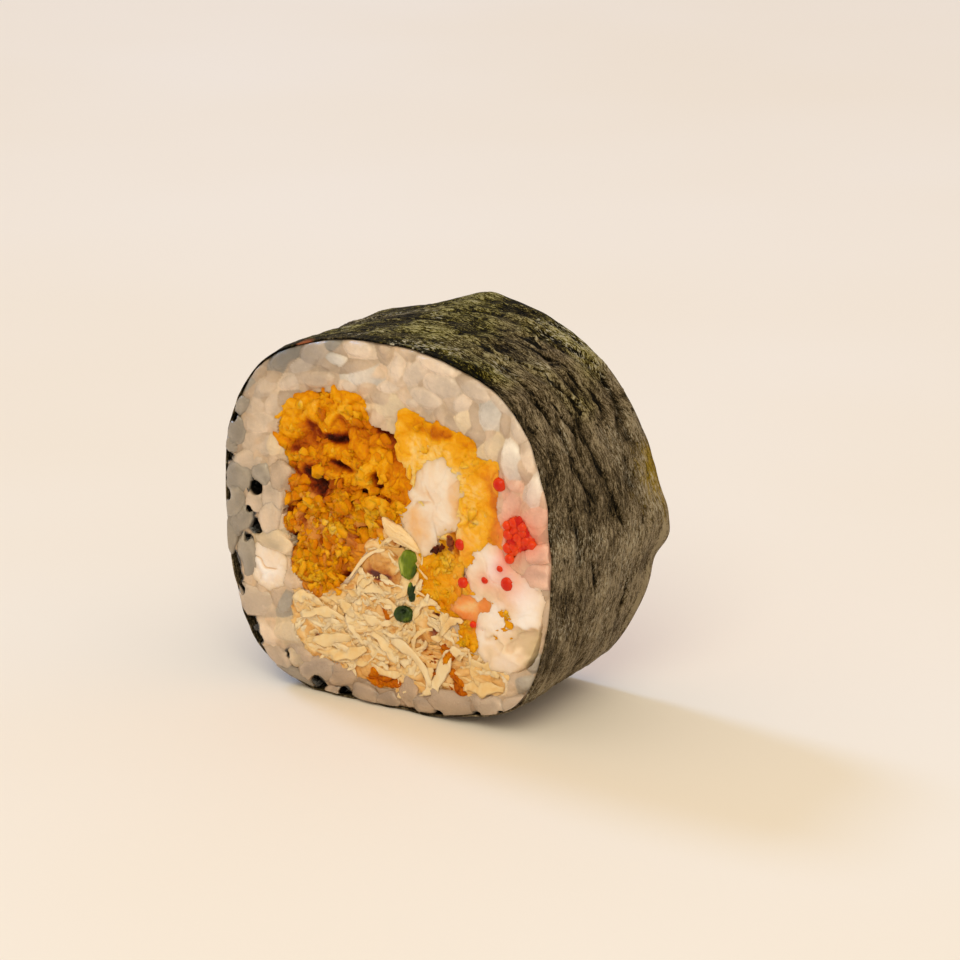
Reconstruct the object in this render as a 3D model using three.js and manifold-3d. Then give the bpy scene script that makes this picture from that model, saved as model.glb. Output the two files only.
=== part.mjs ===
// A thick slice of a large sushi roll, resting on its seaweed side.
// Seaweed and rice go round fried shrimp, shredded crab stick, soft cheese, fish roe and green onion.
// Millimetres, +Z up. The roll's axis lies along Y and the main cut face looks towards -Y.

import * as THREE from "three";
import { ImprovedNoise } from "three/addons/math/ImprovedNoise.js";
import { mergeVertices } from "three/addons/utils/BufferGeometryUtils.js";
import Module from "manifold-3d";

const wasm = await Module();
wasm.setup();

// The roll's outline, as radii from its middle every 22.5 degrees, from +X towards +Z.
const rollMiddle = { x: -0.8, z: 27 };
const frontRadii = [
  28.0, 28.8, 29.9, 28.1, 27.3, 28.4, 30.2, 29.5, 28.1, 29.1, 31.4, 29.6, 27.4, 28.6, 32.0, 29.6,
];
const backRadii = [
  29.8, 28.1, 27.8, 27.5, 27.7, 27.3, 30.4, 29.8, 28.3, 28.9, 31.0, 29.5, 27.4, 29.2, 30.8, 29.3,
];
const rollHeight = 55;
const depthAtFloor = 25.5; // the back cut leans, so the slice is thinner at its foot
const depthAtTop = 29.8;

const sheetWall = 0.4;
const gap = 0.3;
const riceInset = sheetWall + gap;
const rimSteps = 64; // facets round the roll
const coreRecess = 1.1; // the grains and strips stand this far out of their cores
const cutReach = 4; // how far a cutting solid runs past both cut faces

const grain = { length: 6, width: 2.9, spacing: 4.5, depth: 0.75, tip: 0.8, turn: 2.2 };
const grainEdge = 1.2; // the middle of a grain lies at least this far from the rim
const strip = { length: 9, width: 2.6, thickness: 1.5, spacing: 8, depth: 0.35, tip: 0.5 };
const eggSize = { width: 2, length: 2, thickness: 2, tip: 0 };
const placeJitter = 1.1;
const backShift = 1.5; // the grains and strips of the back face lie on a grid moved by this much
const cragWidth = 2.6; // of the relief on the faces of the fillings
const rimRelief = 0.4; // share of that relief which is left at a filling's rim
const backSeed = 9; // how far apart the two faces of a filling lie in the noise

// Ridges of the seaweed that run round the roll, and the bulge at the right of the back rim: share of
// the depth and turn of the middle, half length in turns, half width as a share of the depth, height.
const sheetRidges = [
  { share: 0.1, turn: 0.15, reach: 0.07, width: 0.05, height: 0.5 },
  { share: 0.32, turn: 0.13, reach: 0.06, width: 0.05, height: 0.6 },
  { share: 0.51, turn: 0.12, reach: 0.07, width: 0.045, height: 0.6 },
  { share: 0.72, turn: 0.14, reach: 0.08, width: 0.05, height: 0.6 },
  { share: 0.93, turn: 0.12, reach: 0.06, width: 0.045, height: 0.4 },
  { share: 0.3, turn: 0.21, reach: 0.05, width: 0.06, height: 0.4 },
  { share: 0.55, turn: 0.93, reach: 0.07, width: 0.05, height: 0.35 },
  { share: 1, turn: 0.992, reach: 0.02, width: 0.16, height: 1.2 },
];
const ridgeSlant = -1.2; // share of the depth that a ridge drifts in one turn

// The fillings as they show in the cut: a middle, and an outline that runs round it from +X towards +Z.
// Those that come first keep their whole outline and the later ones are cut to fit them.
const fillings = [
  {
    name: "chive_leaf",
    finish: "leaf",
    middle: [3.2, 22.4],
    outline: [[4.7, 22.6], [4.5, 24.1], [2.8, 24.2], [1.9, 22.6], [2.3, 20.8], [3.5, 20.2], [4.4, 21]],
    relief: 0.5,
    proud: 0.5,
  },
  {
    name: "chive_tip",
    finish: "leafDark",
    middle: [3.8, 18.2],
    outline: [[4.4, 18.4], [4.3, 19.5], [3.3, 19.5], [3.2, 18], [3.6, 16.9], [4.2, 17.1]],
    relief: 0.3,
    proud: 0.2,
  },
  {
    name: "chive_lower",
    finish: "leafDark",
    middle: [2.3, 14.7],
    outline: [[3.9, 14.9], [3, 15.8], [1.5, 15.6], [0.8, 14.6], [1.7, 13.6], [3.2, 13.8]],
    relief: 0.5,
    proud: 0.4,
  },
  {
    name: "crab_sliver",
    finish: "crab",
    middle: [2, 26.3],
    outline: [[5.2, 24.5], [4, 26.3], [1.6, 27.9], [-0.8, 28.8], [-0.7, 27], [1, 25.4], [3.4, 24.8]],
    relief: 0.5,
    proud: 0.9,
  },
  {
    name: "crumb_middle",
    finish: "crumb",
    middle: [-0.3, 14.1],
    outline: [[0.4, 14.4], [-0.2, 15.5], [-1.2, 15.2], [-1, 13], [0, 12.6], [0.4, 13.4]],
    relief: 0.3,
    proud: 0.1,
  },
  {
    name: "crumb_base",
    finish: "crumb",
    middle: [-1.2, 4],
    outline: [[1.7, 4.4], [0.6, 5.1], [-1.4, 4.7], [-3, 5.5], [-4, 3.6], [-1.9, 2.8], [0.9, 3.1]],
    relief: 0.5,
    proud: 0,
  },
  {
    name: "crumb_right",
    finish: "crumb",
    middle: [11.4, 6],
    outline: [[12.9, 5.6], [11.8, 7.2], [10.6, 8.1], [10, 6.3], [10.8, 4.5], [12.4, 4.4]],
    relief: 0.5,
    proud: 0,
  },
  {
    name: "batter_strip",
    finish: "crumb",
    middle: [8.5, 9.2],
    outline: [[11.9, 11.4], [11, 12.5], [8.2, 10.7], [5.8, 8.6], [5.5, 6.6], [7.3, 6.3], [9.4, 8.6]],
    relief: 0.6,
    proud: 0,
  },
  {
    name: "shrimp_upper",
    finish: "shrimp",
    middle: [7.6, 31.6],
    outline: [
      [12, 33.4], [11.5, 37.1], [9, 38.5], [6.6, 37.3], [4.8, 33.8],
      [2.6, 30.6], [3.1, 26.9], [5.8, 24.8], [8.6, 27], [10.9, 30],
    ],
    relief: 0.8,
    proud: 0.5,
  },
  {
    name: "shrimp_lower",
    finish: "shrimpPink",
    middle: [14.2, 17.8],
    outline: [[18.4, 17.7], [16.8, 19.3], [13.8, 19.5], [10.6, 18.8], [10.4, 17.1], [13, 16], [16.6, 16]],
    relief: 0.5,
    proud: 0.4,
  },
  {
    name: "roe_cluster",
    finish: "roe",
    middle: [21.7, 29.2],
    outline: [
      [24.7, 28.9], [23.8, 31.5], [21.2, 32.9], [19.4, 31], [19.2, 27.6], [20.2, 25.6], [22.8, 26.6],
    ],
    relief: 0,
    proud: -0.5,
    eggs: [
      [21.1, 31.4], [20, 29.2], [22.3, 29.3], [23.8, 28.6], [20.4, 26.8],
    ],
  },
  {
    name: "crisp_batter",
    finish: "batter",
    middle: [-9, 30.5],
    outline: [
      [3.2, 38], [1.8, 41.2], [-2.6, 42.4], [-3.9, 44.8], [-8.5, 46.2], [-13.5, 45.6], [-17.8, 42.8],
      [-19.7, 38.8], [-18, 34.5], [-18.6, 28.5], [-19.2, 24.8], [-17.4, 21], [-17.6, 17.6],
      [-13.5, 14], [-9.5, 15.6], [-6.6, 18.6], [-4.5, 21.6], [-1, 25], [2.6, 28.6], [3.8, 33.4],
    ],
    relief: 1.9,
    proud: 0.2,
    rings: 6,
    steps: 36,
  },
  {
    name: "batter_upper",
    finish: "batterPale",
    middle: [10, 34],
    outline: [
      [18.7, 35.6], [18.4, 39.4], [15.2, 40.2], [14.5, 42.6], [10.4, 43.6], [6.8, 44.2], [3.6, 45.3],
      [1.8, 43.4], [1.8, 39.4], [2.4, 35.4], [4.6, 32.4], [6.4, 29.6], [7.8, 27.6], [9.2, 24.6],
      [12.8, 23.9], [17.2, 25], [19.4, 28.4], [18.5, 32],
    ],
    relief: 1.3,
    proud: 0.1,
    rings: 4,
    steps: 26,
  },
  {
    name: "batter_lower",
    finish: "batterPale",
    middle: [12.4, 18.4],
    outline: [
      [21.2, 18], [19.8, 20], [16, 20.6], [12.6, 21.2], [12, 24.4], [7.6, 26], [4.9, 24.4], [4.3, 20],
      [4.8, 17.2], [8.8, 16.4], [11.6, 14.6], [12, 12], [13.6, 10.6], [16.2, 13], [20, 14.6],
    ],
    relief: 1.3,
    proud: 0.2,
    rings: 4,
    steps: 24,
  },
  {
    name: "cheese_left",
    finish: "cheese",
    middle: [-21.4, 17.6],
    outline: [
      [-18, 17.8], [-19.4, 20.6], [-22.6, 20.8], [-24.2, 19.2], [-23.4, 15.8], [-21.2, 14.2], [-18.8, 15],
    ],
    relief: 0.5,
    proud: 0.3,
  },
  {
    name: "cheese_right",
    finish: "cheese",
    middle: [19.6, 18.4],
    outline: [
      [25.9, 18.5], [25.7, 22.6], [22.4, 24.2], [19.6, 25.3], [17.8, 27.3], [15.2, 26.8], [13.8, 24.2],
      [13.6, 21.2], [14, 18.6], [15, 13], [16.6, 9.8], [20.6, 9], [24.3, 10.8], [25.6, 14.6],
    ],
    relief: 0.8,
    proud: 0.2,
    rings: 3,
    steps: 20,
    eggs: [[15.3, 24.1], [20.1, 22.3], [17.6, 22.4], [19.4, 24.2]],
  },
  {
    name: "crab_shreds",
    finish: "crab",
    middle: [-1, 11],
    outline: [
      [20.4, 7.6], [16.4, 10.4], [12.6, 11.4], [9.4, 16], [5.4, 18], [5.6, 22.4], [4.2, 26.4],
      [-1.2, 26.4], [-4.6, 22.4], [-6.6, 19], [-9.4, 16.2], [-13.4, 14.2], [-16.8, 15], [-18, 11.4],
      [-16.4, 7], [-12.6, 4.6], [-7, 3.4], [-2, 2.7], [4, 2.8], [9.4, 3.1], [14.4, 4.1], [19.2, 5.2],
    ],
    relief: 0.6,
    proud: -coreRecess,
    rings: 3,
    steps: 26,
    strips: true,
  },
];
const eggsOnRice = [[18.5, 36.8], [21.6, 34.6]];

const finishes = {
  seaweed: { color: 0x35342a, roughness: 0.5 },
  rice: { color: 0xe3d3bf, roughness: 0.38 },
  leaf: { color: 0x5a962f, roughness: 0.4 },
  leafDark: { color: 0x1c5a30, roughness: 0.4 },
  crab: { color: 0xf0dcb8, roughness: 0.45 },
  crumb: { color: 0xb5651a, roughness: 0.6 },
  shrimp: { color: 0xf3e6d2, roughness: 0.3 },
  shrimpPink: { color: 0xeeb87c, roughness: 0.35 },
  roe: { color: 0xe23a20, roughness: 0.15 },
  batter: { color: 0xd08a22, roughness: 0.55 },
  batterPale: { color: 0xe3a443, roughness: 0.5 },
  cheese: { color: 0xf7efe2, roughness: 0.4 },
};

const noise = new ImprovedNoise();

// Numbers from 0 to 1 that are the same on every run.
let draw = 20317;
function random() {
  draw = (draw * 16807) % 2147483647;
  return draw / 2147483647;
}

function spread(width) {
  return (random() - 0.5) * width;
}

function solidFrom(geometry) {
  const bare = geometry.clone();
  bare.deleteAttribute("normal");
  bare.deleteAttribute("uv");
  const merged = mergeVertices(bare, 1e-4);
  return new wasm.Manifold(
    new wasm.Mesh({
      numProp: 3,
      vertProperties: new Float32Array(merged.attributes.position.array),
      triVerts: new Uint32Array(merged.index.array),
    }),
  );
}

function geometryFrom(solid) {
  const mesh = solid.getMesh();
  const geometry = new THREE.BufferGeometry();
  geometry.setAttribute("position", new THREE.BufferAttribute(mesh.vertProperties, 3));
  geometry.setIndex(new THREE.BufferAttribute(mesh.triVerts, 1));
  return geometry;
}

// The biggest body of a solid, without the scraps that a cut leaves beside it.
function mainBody(solid) {
  return solid.decompose().reduce((a, b) => (b.volume() > a.volume() ? b : a));
}

function closedCurve(points) {
  const corners = points.map(([x, z]) => new THREE.Vector3(x, 0, z));
  return new THREE.CatmullRomCurve3(corners, true, "catmullrom", 0.5);
}

function rimCurve(radii) {
  return closedCurve(
    radii.map((radius, i) => {
      const angle = (i / radii.length) * 2 * Math.PI;
      return [rollMiddle.x + radius * Math.cos(angle), rollMiddle.z + radius * Math.sin(angle)];
    }),
  );
}
const frontRim = rimCurve(frontRadii);
const backRim = rimCurve(backRadii);

function depthAt(z) {
  return depthAtFloor + ((depthAtTop - depthAtFloor) * z) / rollHeight;
}

function awayFromMiddle(point) {
  return new THREE.Vector3(point.x - rollMiddle.x, 0, point.z - rollMiddle.z).normalize();
}

// A point of the roll's skin, inset towards the middle. Its share runs from 0 at the front cut to 1
// at the back cut.
function skinPoint(turn, share, inset) {
  const point = frontRim.getPoint(turn).lerp(backRim.getPoint(turn), share);
  point.addScaledVector(awayFromMiddle(point), -inset);
  point.z = Math.max(point.z, inset);
  return point;
}

function ridgeHeight(turn, share) {
  return sheetRidges.reduce((sum, ridge) => {
    const side = ((turn - ridge.turn + 1.5) % 1) - 0.5;
    const across = (share - ridge.share - ridgeSlant * side) / ridge.width;
    const along = side / ridge.reach;
    return sum + ridge.height * Math.exp(-across * across - along * along);
  }, 0);
}

function turnOf(x, z) {
  return (Math.atan2(z, x) / (2 * Math.PI) + 1) % 1;
}

// Moves every vertex of a lathed shape to place(turn, radius, share).
function shaped(profile, steps, place) {
  const geometry = new THREE.LatheGeometry(
    profile.map(([radius, share]) => new THREE.Vector2(radius, share)),
    steps,
  );
  const position = geometry.attributes.position;
  for (let i = 0; i < position.count; i++) {
    const x = position.getX(i);
    const z = position.getZ(i);
    const point = place(turnOf(x, z), Math.hypot(x, z), position.getY(i));
    position.setXYZ(i, point.x, point.y, point.z);
  }
  return geometry;
}

// A profile that runs out along the front face, over the side and back in along the back face.
function discProfile(rings) {
  const out = Array.from({ length: rings + 1 }, (_, i) => i / rings);
  return [...out.map((radius) => [radius, 0]), ...out.reverse().map((radius) => [radius, 1])];
}

// In its profile a radius of 2 stands for the outside of the sheet and 1 for the inside.
function seaweedSheet() {
  const rows = 16;
  const outside = Array.from({ length: rows + 1 }, (_, i) => [2, i / rows]);
  const inside = [[1, 1], [1, 0.5], [1, 0]];
  return shaped([...outside, ...inside, outside[0]], rimSteps, (turn, radius, share) => {
    const outer = radius > 1.5;
    const point = skinPoint(turn, share, outer ? 0 : sheetWall);
    if (outer && point.z > 0) point.addScaledVector(awayFromMiddle(point), ridgeHeight(turn, share));
    point.y = share * depthAt(point.z);
    return point;
  });
}

// The whole inside of the sheet, with its two faces moved out by proud.
function riceBlock(proud) {
  return shaped(discProfile(3), rimSteps, (turn, radius, share) => {
    const point = skinPoint(turn, share, riceInset);
    point.x = rollMiddle.x + radius * (point.x - rollMiddle.x);
    point.z = rollMiddle.z + radius * (point.z - rollMiddle.z);
    point.y = share > 0.5 ? depthAt(point.z) + proud : -proud;
    return point;
  });
}

// A filling that runs through the roll. Its two faces carry their relief, or stand out flat by faceReach.
function fillingBlock({ middle, outline, relief, proud, rings = 2, steps = 14 }, grow, faceReach) {
  const curve = closedCurve(outline);
  return shaped(discProfile(rings), steps, (turn, radius, share) => {
    const edge = curve.getPoint(turn);
    const away = new THREE.Vector3(edge.x - middle[0], 0, edge.z - middle[1]);
    away.setLength((away.length() + grow) * radius);
    const x = middle[0] + away.x;
    const z = middle[1] + away.z;
    const height = relief * noise.noise(x / cragWidth, z / cragWidth, middle[0] + share * backSeed);
    const out = faceReach > 0 ? faceReach : proud + height * (radius < 1 ? 1 : rimRelief);
    return new THREE.Vector3(x, share > 0.5 ? depthAt(z) + out : -out, z);
  });
}

// Grains, strips and roe are stretched balls of few sides, laid into the plane of a cut face.
function pebble(x, z, onBack, size, angle, depth, sides = 5) {
  const geometry = new THREE.SphereGeometry(1, sides, 3);
  geometry.scale(size.width / 2, size.length / 2, size.thickness / 2);
  geometry.rotateX(Math.PI / 2);
  geometry.rotateX(size.tip);
  geometry.rotateY(angle);
  geometry.translate(x, onBack ? depthAt(z) - depth : depth, z);
  return solidFrom(geometry);
}

function inside(curvePoints, x, z) {
  let within = false;
  curvePoints.forEach((a, i) => {
    const b = curvePoints[(i + 1) % curvePoints.length];
    if (a.z > z !== b.z > z && x < ((b.x - a.x) * (z - a.z)) / (b.z - a.z) + a.x) within = !within;
  });
  return within;
}

// Places on a staggered grid, each moved a little at random, where test(x, z) holds.
function scattered(spacing, shift, test) {
  const places = [];
  const rowHeight = (spacing * Math.sqrt(3)) / 2;
  const halfWidth = rollHeight * 0.55;
  for (let row = 0; row * rowHeight < rollHeight; row++) {
    for (let x = -halfWidth + (row % 2) * (spacing / 2) + shift; x < halfWidth; x += spacing) {
      const place = { x: x + spread(placeJitter), z: row * rowHeight + spread(placeJitter) };
      if (test(place.x, place.z)) places.push(place);
    }
  }
  return places;
}

const fillingLoops = fillings.map((filling) => closedCurve(filling.outline).getPoints(60));
const rimLoop = frontRim.getPoints(96);
const faceEnds = [false, true]; // whether a piece lies on the back face
const cutters = fillings.map((filling) => solidFrom(fillingBlock(filling, gap, cutReach)));

function joined(solids) {
  return wasm.Manifold.union(solids);
}

function eggs(places, depth) {
  return faceEnds.flatMap((onBack) => places.map(([x, z]) => pebble(x, z, onBack, eggSize, 0, depth)));
}

function crabStrips(loop) {
  const test = (x, z) => inside(loop, x, z);
  return faceEnds.flatMap((onBack) =>
    scattered(strip.spacing, onBack ? backShift : 0, test).map(({ x, z }) => {
      const length = strip.length * (1 + spread(0.6));
      const size = { ...strip, length, tip: spread(strip.tip) };
      return pebble(x, z, onBack, size, random() * Math.PI, strip.depth + random() / 2, 4);
    }),
  );
}

function isRice(x, z) {
  const toMiddle = Math.hypot(x - rollMiddle.x, z - rollMiddle.z);
  const scale = (toMiddle + grainEdge) / toMiddle;
  const farX = rollMiddle.x + (x - rollMiddle.x) * scale;
  const farZ = rollMiddle.z + (z - rollMiddle.z) * scale;
  return inside(rimLoop, farX, farZ) && !fillingLoops.some((loop) => inside(loop, x, z));
}

// The grains lie mostly along the rim.
function riceGrains() {
  return faceEnds.flatMap((onBack) =>
    scattered(grain.spacing, onBack ? backShift : 0, isRice).map(({ x, z }) => {
      const round = Math.atan2(z - rollMiddle.z, x - rollMiddle.x);
      const length = grain.length * (1 + spread(0.3));
      const width = grain.width * (1 + spread(0.2));
      const size = { length, width, thickness: grain.width, tip: spread(grain.tip) };
      return pebble(x, z, onBack, size, spread(grain.turn) - round, grain.depth + random() / 2);
    }),
  );
}

const slice = new THREE.Group();
slice.name = "futomaki_slice";

function addNode(name, solid, finish) {
  const material = new THREE.MeshStandardMaterial({ ...finishes[finish], metalness: 0 });
  const mesh = new THREE.Mesh(geometryFrom(solid), material);
  mesh.name = name;
  slice.add(mesh);
}

addNode("seaweed_sheet", solidFrom(seaweedSheet()), "seaweed");

const riceSpace = solidFrom(riceBlock(cutReach));

fillings.forEach((filling, index) => {
  let solid = solidFrom(fillingBlock(filling, 0, 0));
  if (filling.strips) {
    const bounds = solidFrom(fillingBlock(filling, 0, cutReach));
    solid = solid.add(joined(crabStrips(fillingLoops[index])).intersect(bounds));
  }
  if (filling.eggs) {
    const bounds = solidFrom(fillingBlock(filling, 0, cutReach));
    solid = solid.add(joined(eggs(filling.eggs, 0)).intersect(bounds));
  }
  if (index > 0) solid = solid.subtract(joined(cutters.slice(0, index)));
  addNode(filling.name, mainBody(solid.intersect(riceSpace)), filling.finish);
});

const riceExtras = joined([...riceGrains(), ...eggs(eggsOnRice, 0)]).intersect(riceSpace);
const riceCore = solidFrom(riceBlock(-coreRecess));
addNode("rice", mainBody(riceCore.add(riceExtras).subtract(joined(cutters))), "rice");

// The slice stands on z = 0 with the middle of its box over the origin.
const box = new THREE.Box3().setFromObject(slice);
const boxMiddle = box.getCenter(new THREE.Vector3());
slice.position.set(-boxMiddle.x, -boxMiddle.y, -box.min.z);

export default slice;
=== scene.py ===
# A thick futomaki slice that rests on its seaweed side, with its main cut face towards -Y.
# Shapes are worked out in the part's own millimetres, where y is 0 at the front cut and z is 0 on
# the surface below, and go to Blender in metres.
import bpy
import numpy as np
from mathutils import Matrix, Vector


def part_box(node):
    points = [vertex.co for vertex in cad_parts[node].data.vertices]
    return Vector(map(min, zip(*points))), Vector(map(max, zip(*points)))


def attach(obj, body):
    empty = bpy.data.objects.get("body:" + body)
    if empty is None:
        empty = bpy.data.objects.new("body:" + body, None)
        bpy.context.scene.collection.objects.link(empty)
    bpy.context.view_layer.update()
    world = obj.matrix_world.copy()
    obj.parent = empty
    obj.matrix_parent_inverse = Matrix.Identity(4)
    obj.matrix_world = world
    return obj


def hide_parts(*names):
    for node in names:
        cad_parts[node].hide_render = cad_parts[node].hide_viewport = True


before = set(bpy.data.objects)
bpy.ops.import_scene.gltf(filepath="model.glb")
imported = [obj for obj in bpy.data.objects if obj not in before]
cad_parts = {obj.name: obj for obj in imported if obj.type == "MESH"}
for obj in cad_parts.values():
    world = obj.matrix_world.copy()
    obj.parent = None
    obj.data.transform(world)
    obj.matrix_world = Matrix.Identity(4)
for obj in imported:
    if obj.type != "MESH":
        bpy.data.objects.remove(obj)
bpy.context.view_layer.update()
print("frame loaded")


def closedCurve(points, turns):
    # Smooth closed curve through the points: cubic spans whose slopes are half the step between
    # the neighbours on both sides. A turn runs from 0 to 1 once round.
    points = np.asarray(points, float)
    along = np.mod(turns, 1.0) * len(points)
    start = np.floor(along).astype(int)
    t = (along - start)[..., None]
    a, b, c, d = (points[(start + k) % len(points)] for k in (-1, 0, 1, 2))
    leave, arrive = (c - a) / 2, (d - b) / 2
    bend = 3 * (c - b) - 2 * leave - arrive
    return b + leave * t + bend * t**2 + (2 * (b - c) + leave + arrive) * t**3


def smooth(low, high, value):
    # 0 below low, 1 above high, eased between them.
    t = np.clip((value - low) / (high - low), 0, 1)
    return t * t * (3 - 2 * t)


def hill(value):
    # 1 at 0, falling off softly to both sides.
    return np.exp(-(value**2))


def softFloor(value, floor, width):
    # The value kept above the floor: floor + width * ln(1 + e^((value - floor) / width)).
    return floor + np.logaddexp(0, (value - floor) / width) * width


def softCeiling(value, ceiling, width):
    # The same upside down, so the value stays below the ceiling.
    return -softFloor(-value, -ceiling, width)


def rotated(a, b, angle):
    # A pair turned by the angle: a cos - b sin, and a sin + b cos.
    cosine, sine = np.cos(angle), np.sin(angle)
    return a * cosine - b * sine, a * sine + b * cosine


def sampled(outline, count):
    return closedCurve(outline, np.arange(count) / count)


# Factors and shifts that scramble the bits of a cell's whole numbers.
scramble = {
    "axes": (374761393, 668265263, 2246822519),
    "seed": 2654435761,
    "start": 97,
    "rounds": ((13, 1274126177), (15, 2246822519)),
    "lastShift": 16,
    "highest": 2.0**32 - 1,
}


def hashed(cell, seed):
    # Scrambles whole-number cells into values from 0 to 1, the same on each run.
    part = np.asarray(cell).astype(np.int64).astype(np.uint32)
    factors = np.array(scramble["axes"], np.uint32)[: part.shape[-1]]
    value = (part * factors).sum(-1, dtype=np.uint32)
    value = value + np.uint32((seed * scramble["seed"] + scramble["start"]) % 2**32)
    for shift, factor in scramble["rounds"]:
        value = (value ^ (value >> np.uint32(shift))) * np.uint32(factor)
    return (value ^ (value >> np.uint32(scramble["lastShift"]))) / scramble["highest"]


def randomRows(count, row, seed, columns):
    # A row of values from 0 to 1 for each of count things.
    cell = np.stack([np.arange(count), np.full(count, row)], -1)
    return np.stack([hashed(cell, seed + k) for k in range(columns)], -1)


def noise(points, seed=0):
    # Smooth values from -1 to 1: a random value at each whole-number corner, eased between corners.
    points = np.asarray(points, float)
    cell = np.floor(points)
    t = points - cell
    t = t * t * t * (t * (6 * t - 15) + 10)
    total = 0
    for corner in np.ndindex(*(2,) * points.shape[-1]):
        weight = np.prod(np.where(np.array(corner) == 1, t, 1 - t), axis=-1)
        total = total + weight * hashed(cell + np.array(corner), seed)
    return 2 * total - 1


def fractal(points, octaves=3, seed=0):
    # Noise at growing scales, each with half the strength of the one before.
    growth = 2.03  # a little over 2, so the corners of the scales don't line up
    return sum(noise(points * growth**k, seed + 7 * k) * 0.5**k for k in range(octaves))


def wander(points, seed):
    # Two noises side by side, to bend the plane that a pattern lies in.
    return np.stack([fractal(points, 2, seed), fractal(points, 2, seed + 31)], -1)


def cells(points, seed):
    # Cracks between random stones: how far the second nearest stone is beyond the nearest one, the
    # nearest one's random number, and the way to its middle.
    base = np.floor(points)
    nearest = np.full(points.shape[:-1], 9.0)
    second = nearest.copy()
    own = np.zeros_like(nearest)
    way = np.zeros_like(points)
    for step in np.ndindex(3, 3):
        cell = base + np.array(step) - 1
        middle = cell + np.stack([hashed(cell, seed), hashed(cell, seed + 1)], -1)
        distance = np.linalg.norm(points - middle, axis=-1)
        closer = distance < nearest
        second = np.where(closer, nearest, np.minimum(second, distance))
        own = np.where(closer, hashed(cell, seed + 2), own)
        way = np.where(closer[..., None], points - middle, way)
        nearest = np.minimum(nearest, distance)
    return second - nearest, own, way


def ellipseDistance(flat, x, z, halfLength, halfWidth, degrees):
    # 0 at the middle of an ellipse and 1 on its edge.
    along, across = rotated(flat[..., 0] - x, flat[..., 1] - z, -np.radians(degrees))
    return np.hypot(along / halfLength, across / halfWidth)


def fromLine(dx, dy, wayX, wayY):
    # For points at dx and dy from a line's start: the share of the line that is nearest to them,
    # and how far they are from it.
    along = np.clip((dx * wayX + dy * wayY) / (wayX**2 + wayY**2), 0, 1)
    return along, np.hypot(dx - along * wayX, dy - along * wayY)


# The roll's outline, as in the part's source.
roll = {
    "middle": (-0.8, 27.0),
    "frontRadii": (28.0, 28.8, 29.9, 28.1, 27.3, 28.4, 30.2, 29.5,
                   28.1, 29.1, 31.4, 29.6, 27.4, 28.6, 32.0, 29.6),
    "backRadii": (29.8, 28.1, 27.8, 27.5, 27.7, 27.3, 30.4, 29.8,
                  28.3, 28.9, 31.0, 29.5, 27.4, 29.2, 30.8, 29.3),
    "height": 55.0,
    "depthAtFloor": 25.5,
    "depthAtTop": 29.8,
    "seaweedWall": 0.25,
    "riceInset": 0.45,
    "rimSteps": 64,  # facets round the part's solids
}
rollMiddle = np.array(roll["middle"])


def onCircle(turn):
    return np.stack([np.cos(turn * 2 * np.pi), np.sin(turn * 2 * np.pi)], -1)


def rimPoints(radii):
    return rollMiddle + np.array(radii)[:, None] * onCircle(np.arange(len(radii)) / len(radii))


frontRim = rimPoints(roll["frontRadii"])
backRim = rimPoints(roll["backRadii"])


def depthAt(z):
    return roll["depthAtFloor"] + (roll["depthAtTop"] - roll["depthAtFloor"]) * z / roll["height"]


def cutPoints(flat, height, onBack):
    # Points that stand out of a cut by height: y is -height at the front cut, and the roll's depth
    # plus the height at the back cut.
    y = depthAt(flat[..., 1]) + height if onBack else -height
    return np.stack([flat[..., 0], y, flat[..., 1]], -1)


def awayFromMiddle(flat):
    away = flat - rollMiddle
    return away / np.linalg.norm(away, axis=-1, keepdims=True)


def skin(turn, share, inset=0.0):
    # The x and z of the roll's skin: the front rim blended into the back rim by share, then moved
    # towards the middle by inset and kept that far above the floor.
    share = np.asarray(share, float)[..., None]
    flat = closedCurve(frontRim, turn) * (1 - share) + closedCurve(backRim, turn) * share
    flat = flat - awayFromMiddle(flat) * inset
    flat[..., 1] = np.maximum(flat[..., 1], inset)
    return flat


def insideRoll(flat, share, inset):
    # Pulls points back towards the middle where they lie outside the skin, by the skin's own radius
    # at their angle.
    steps = 720
    turns = np.arange(steps) / steps
    rim = np.array([skin(turns, np.full(steps, s), inset) - rollMiddle for s in (0.0, 1.0)])
    rimAngle = np.unwrap(np.arctan2(rim[..., 1], rim[..., 0]), axis=-1)
    rimRadius = np.linalg.norm(rim, axis=-1)
    away = flat - rollMiddle
    angle = np.mod(np.arctan2(away[..., 1], away[..., 0]), 2 * np.pi)
    front, back = (np.interp(angle, rimAngle[k], rimRadius[k], period=2 * np.pi) for k in (0, 1))
    most = front * (1 - share) + back * share
    radius = np.maximum(np.linalg.norm(away, axis=-1), 1e-6)
    return rollMiddle + away * np.minimum(1, most / radius)[..., None]


cadLow = np.array(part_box("seaweed_sheet")[0]) * 1000
rimTurns = np.arange(roll["rimSteps"]) / roll["rimSteps"]
designLow = min(skin(rimTurns, np.full(len(rimTurns), s))[:, 0].min() for s in (0.0, 1.0))
shift = np.array([cadLow[0] - designLow, cadLow[1], 0.0])  # from the outline's place to the CAD's


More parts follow.
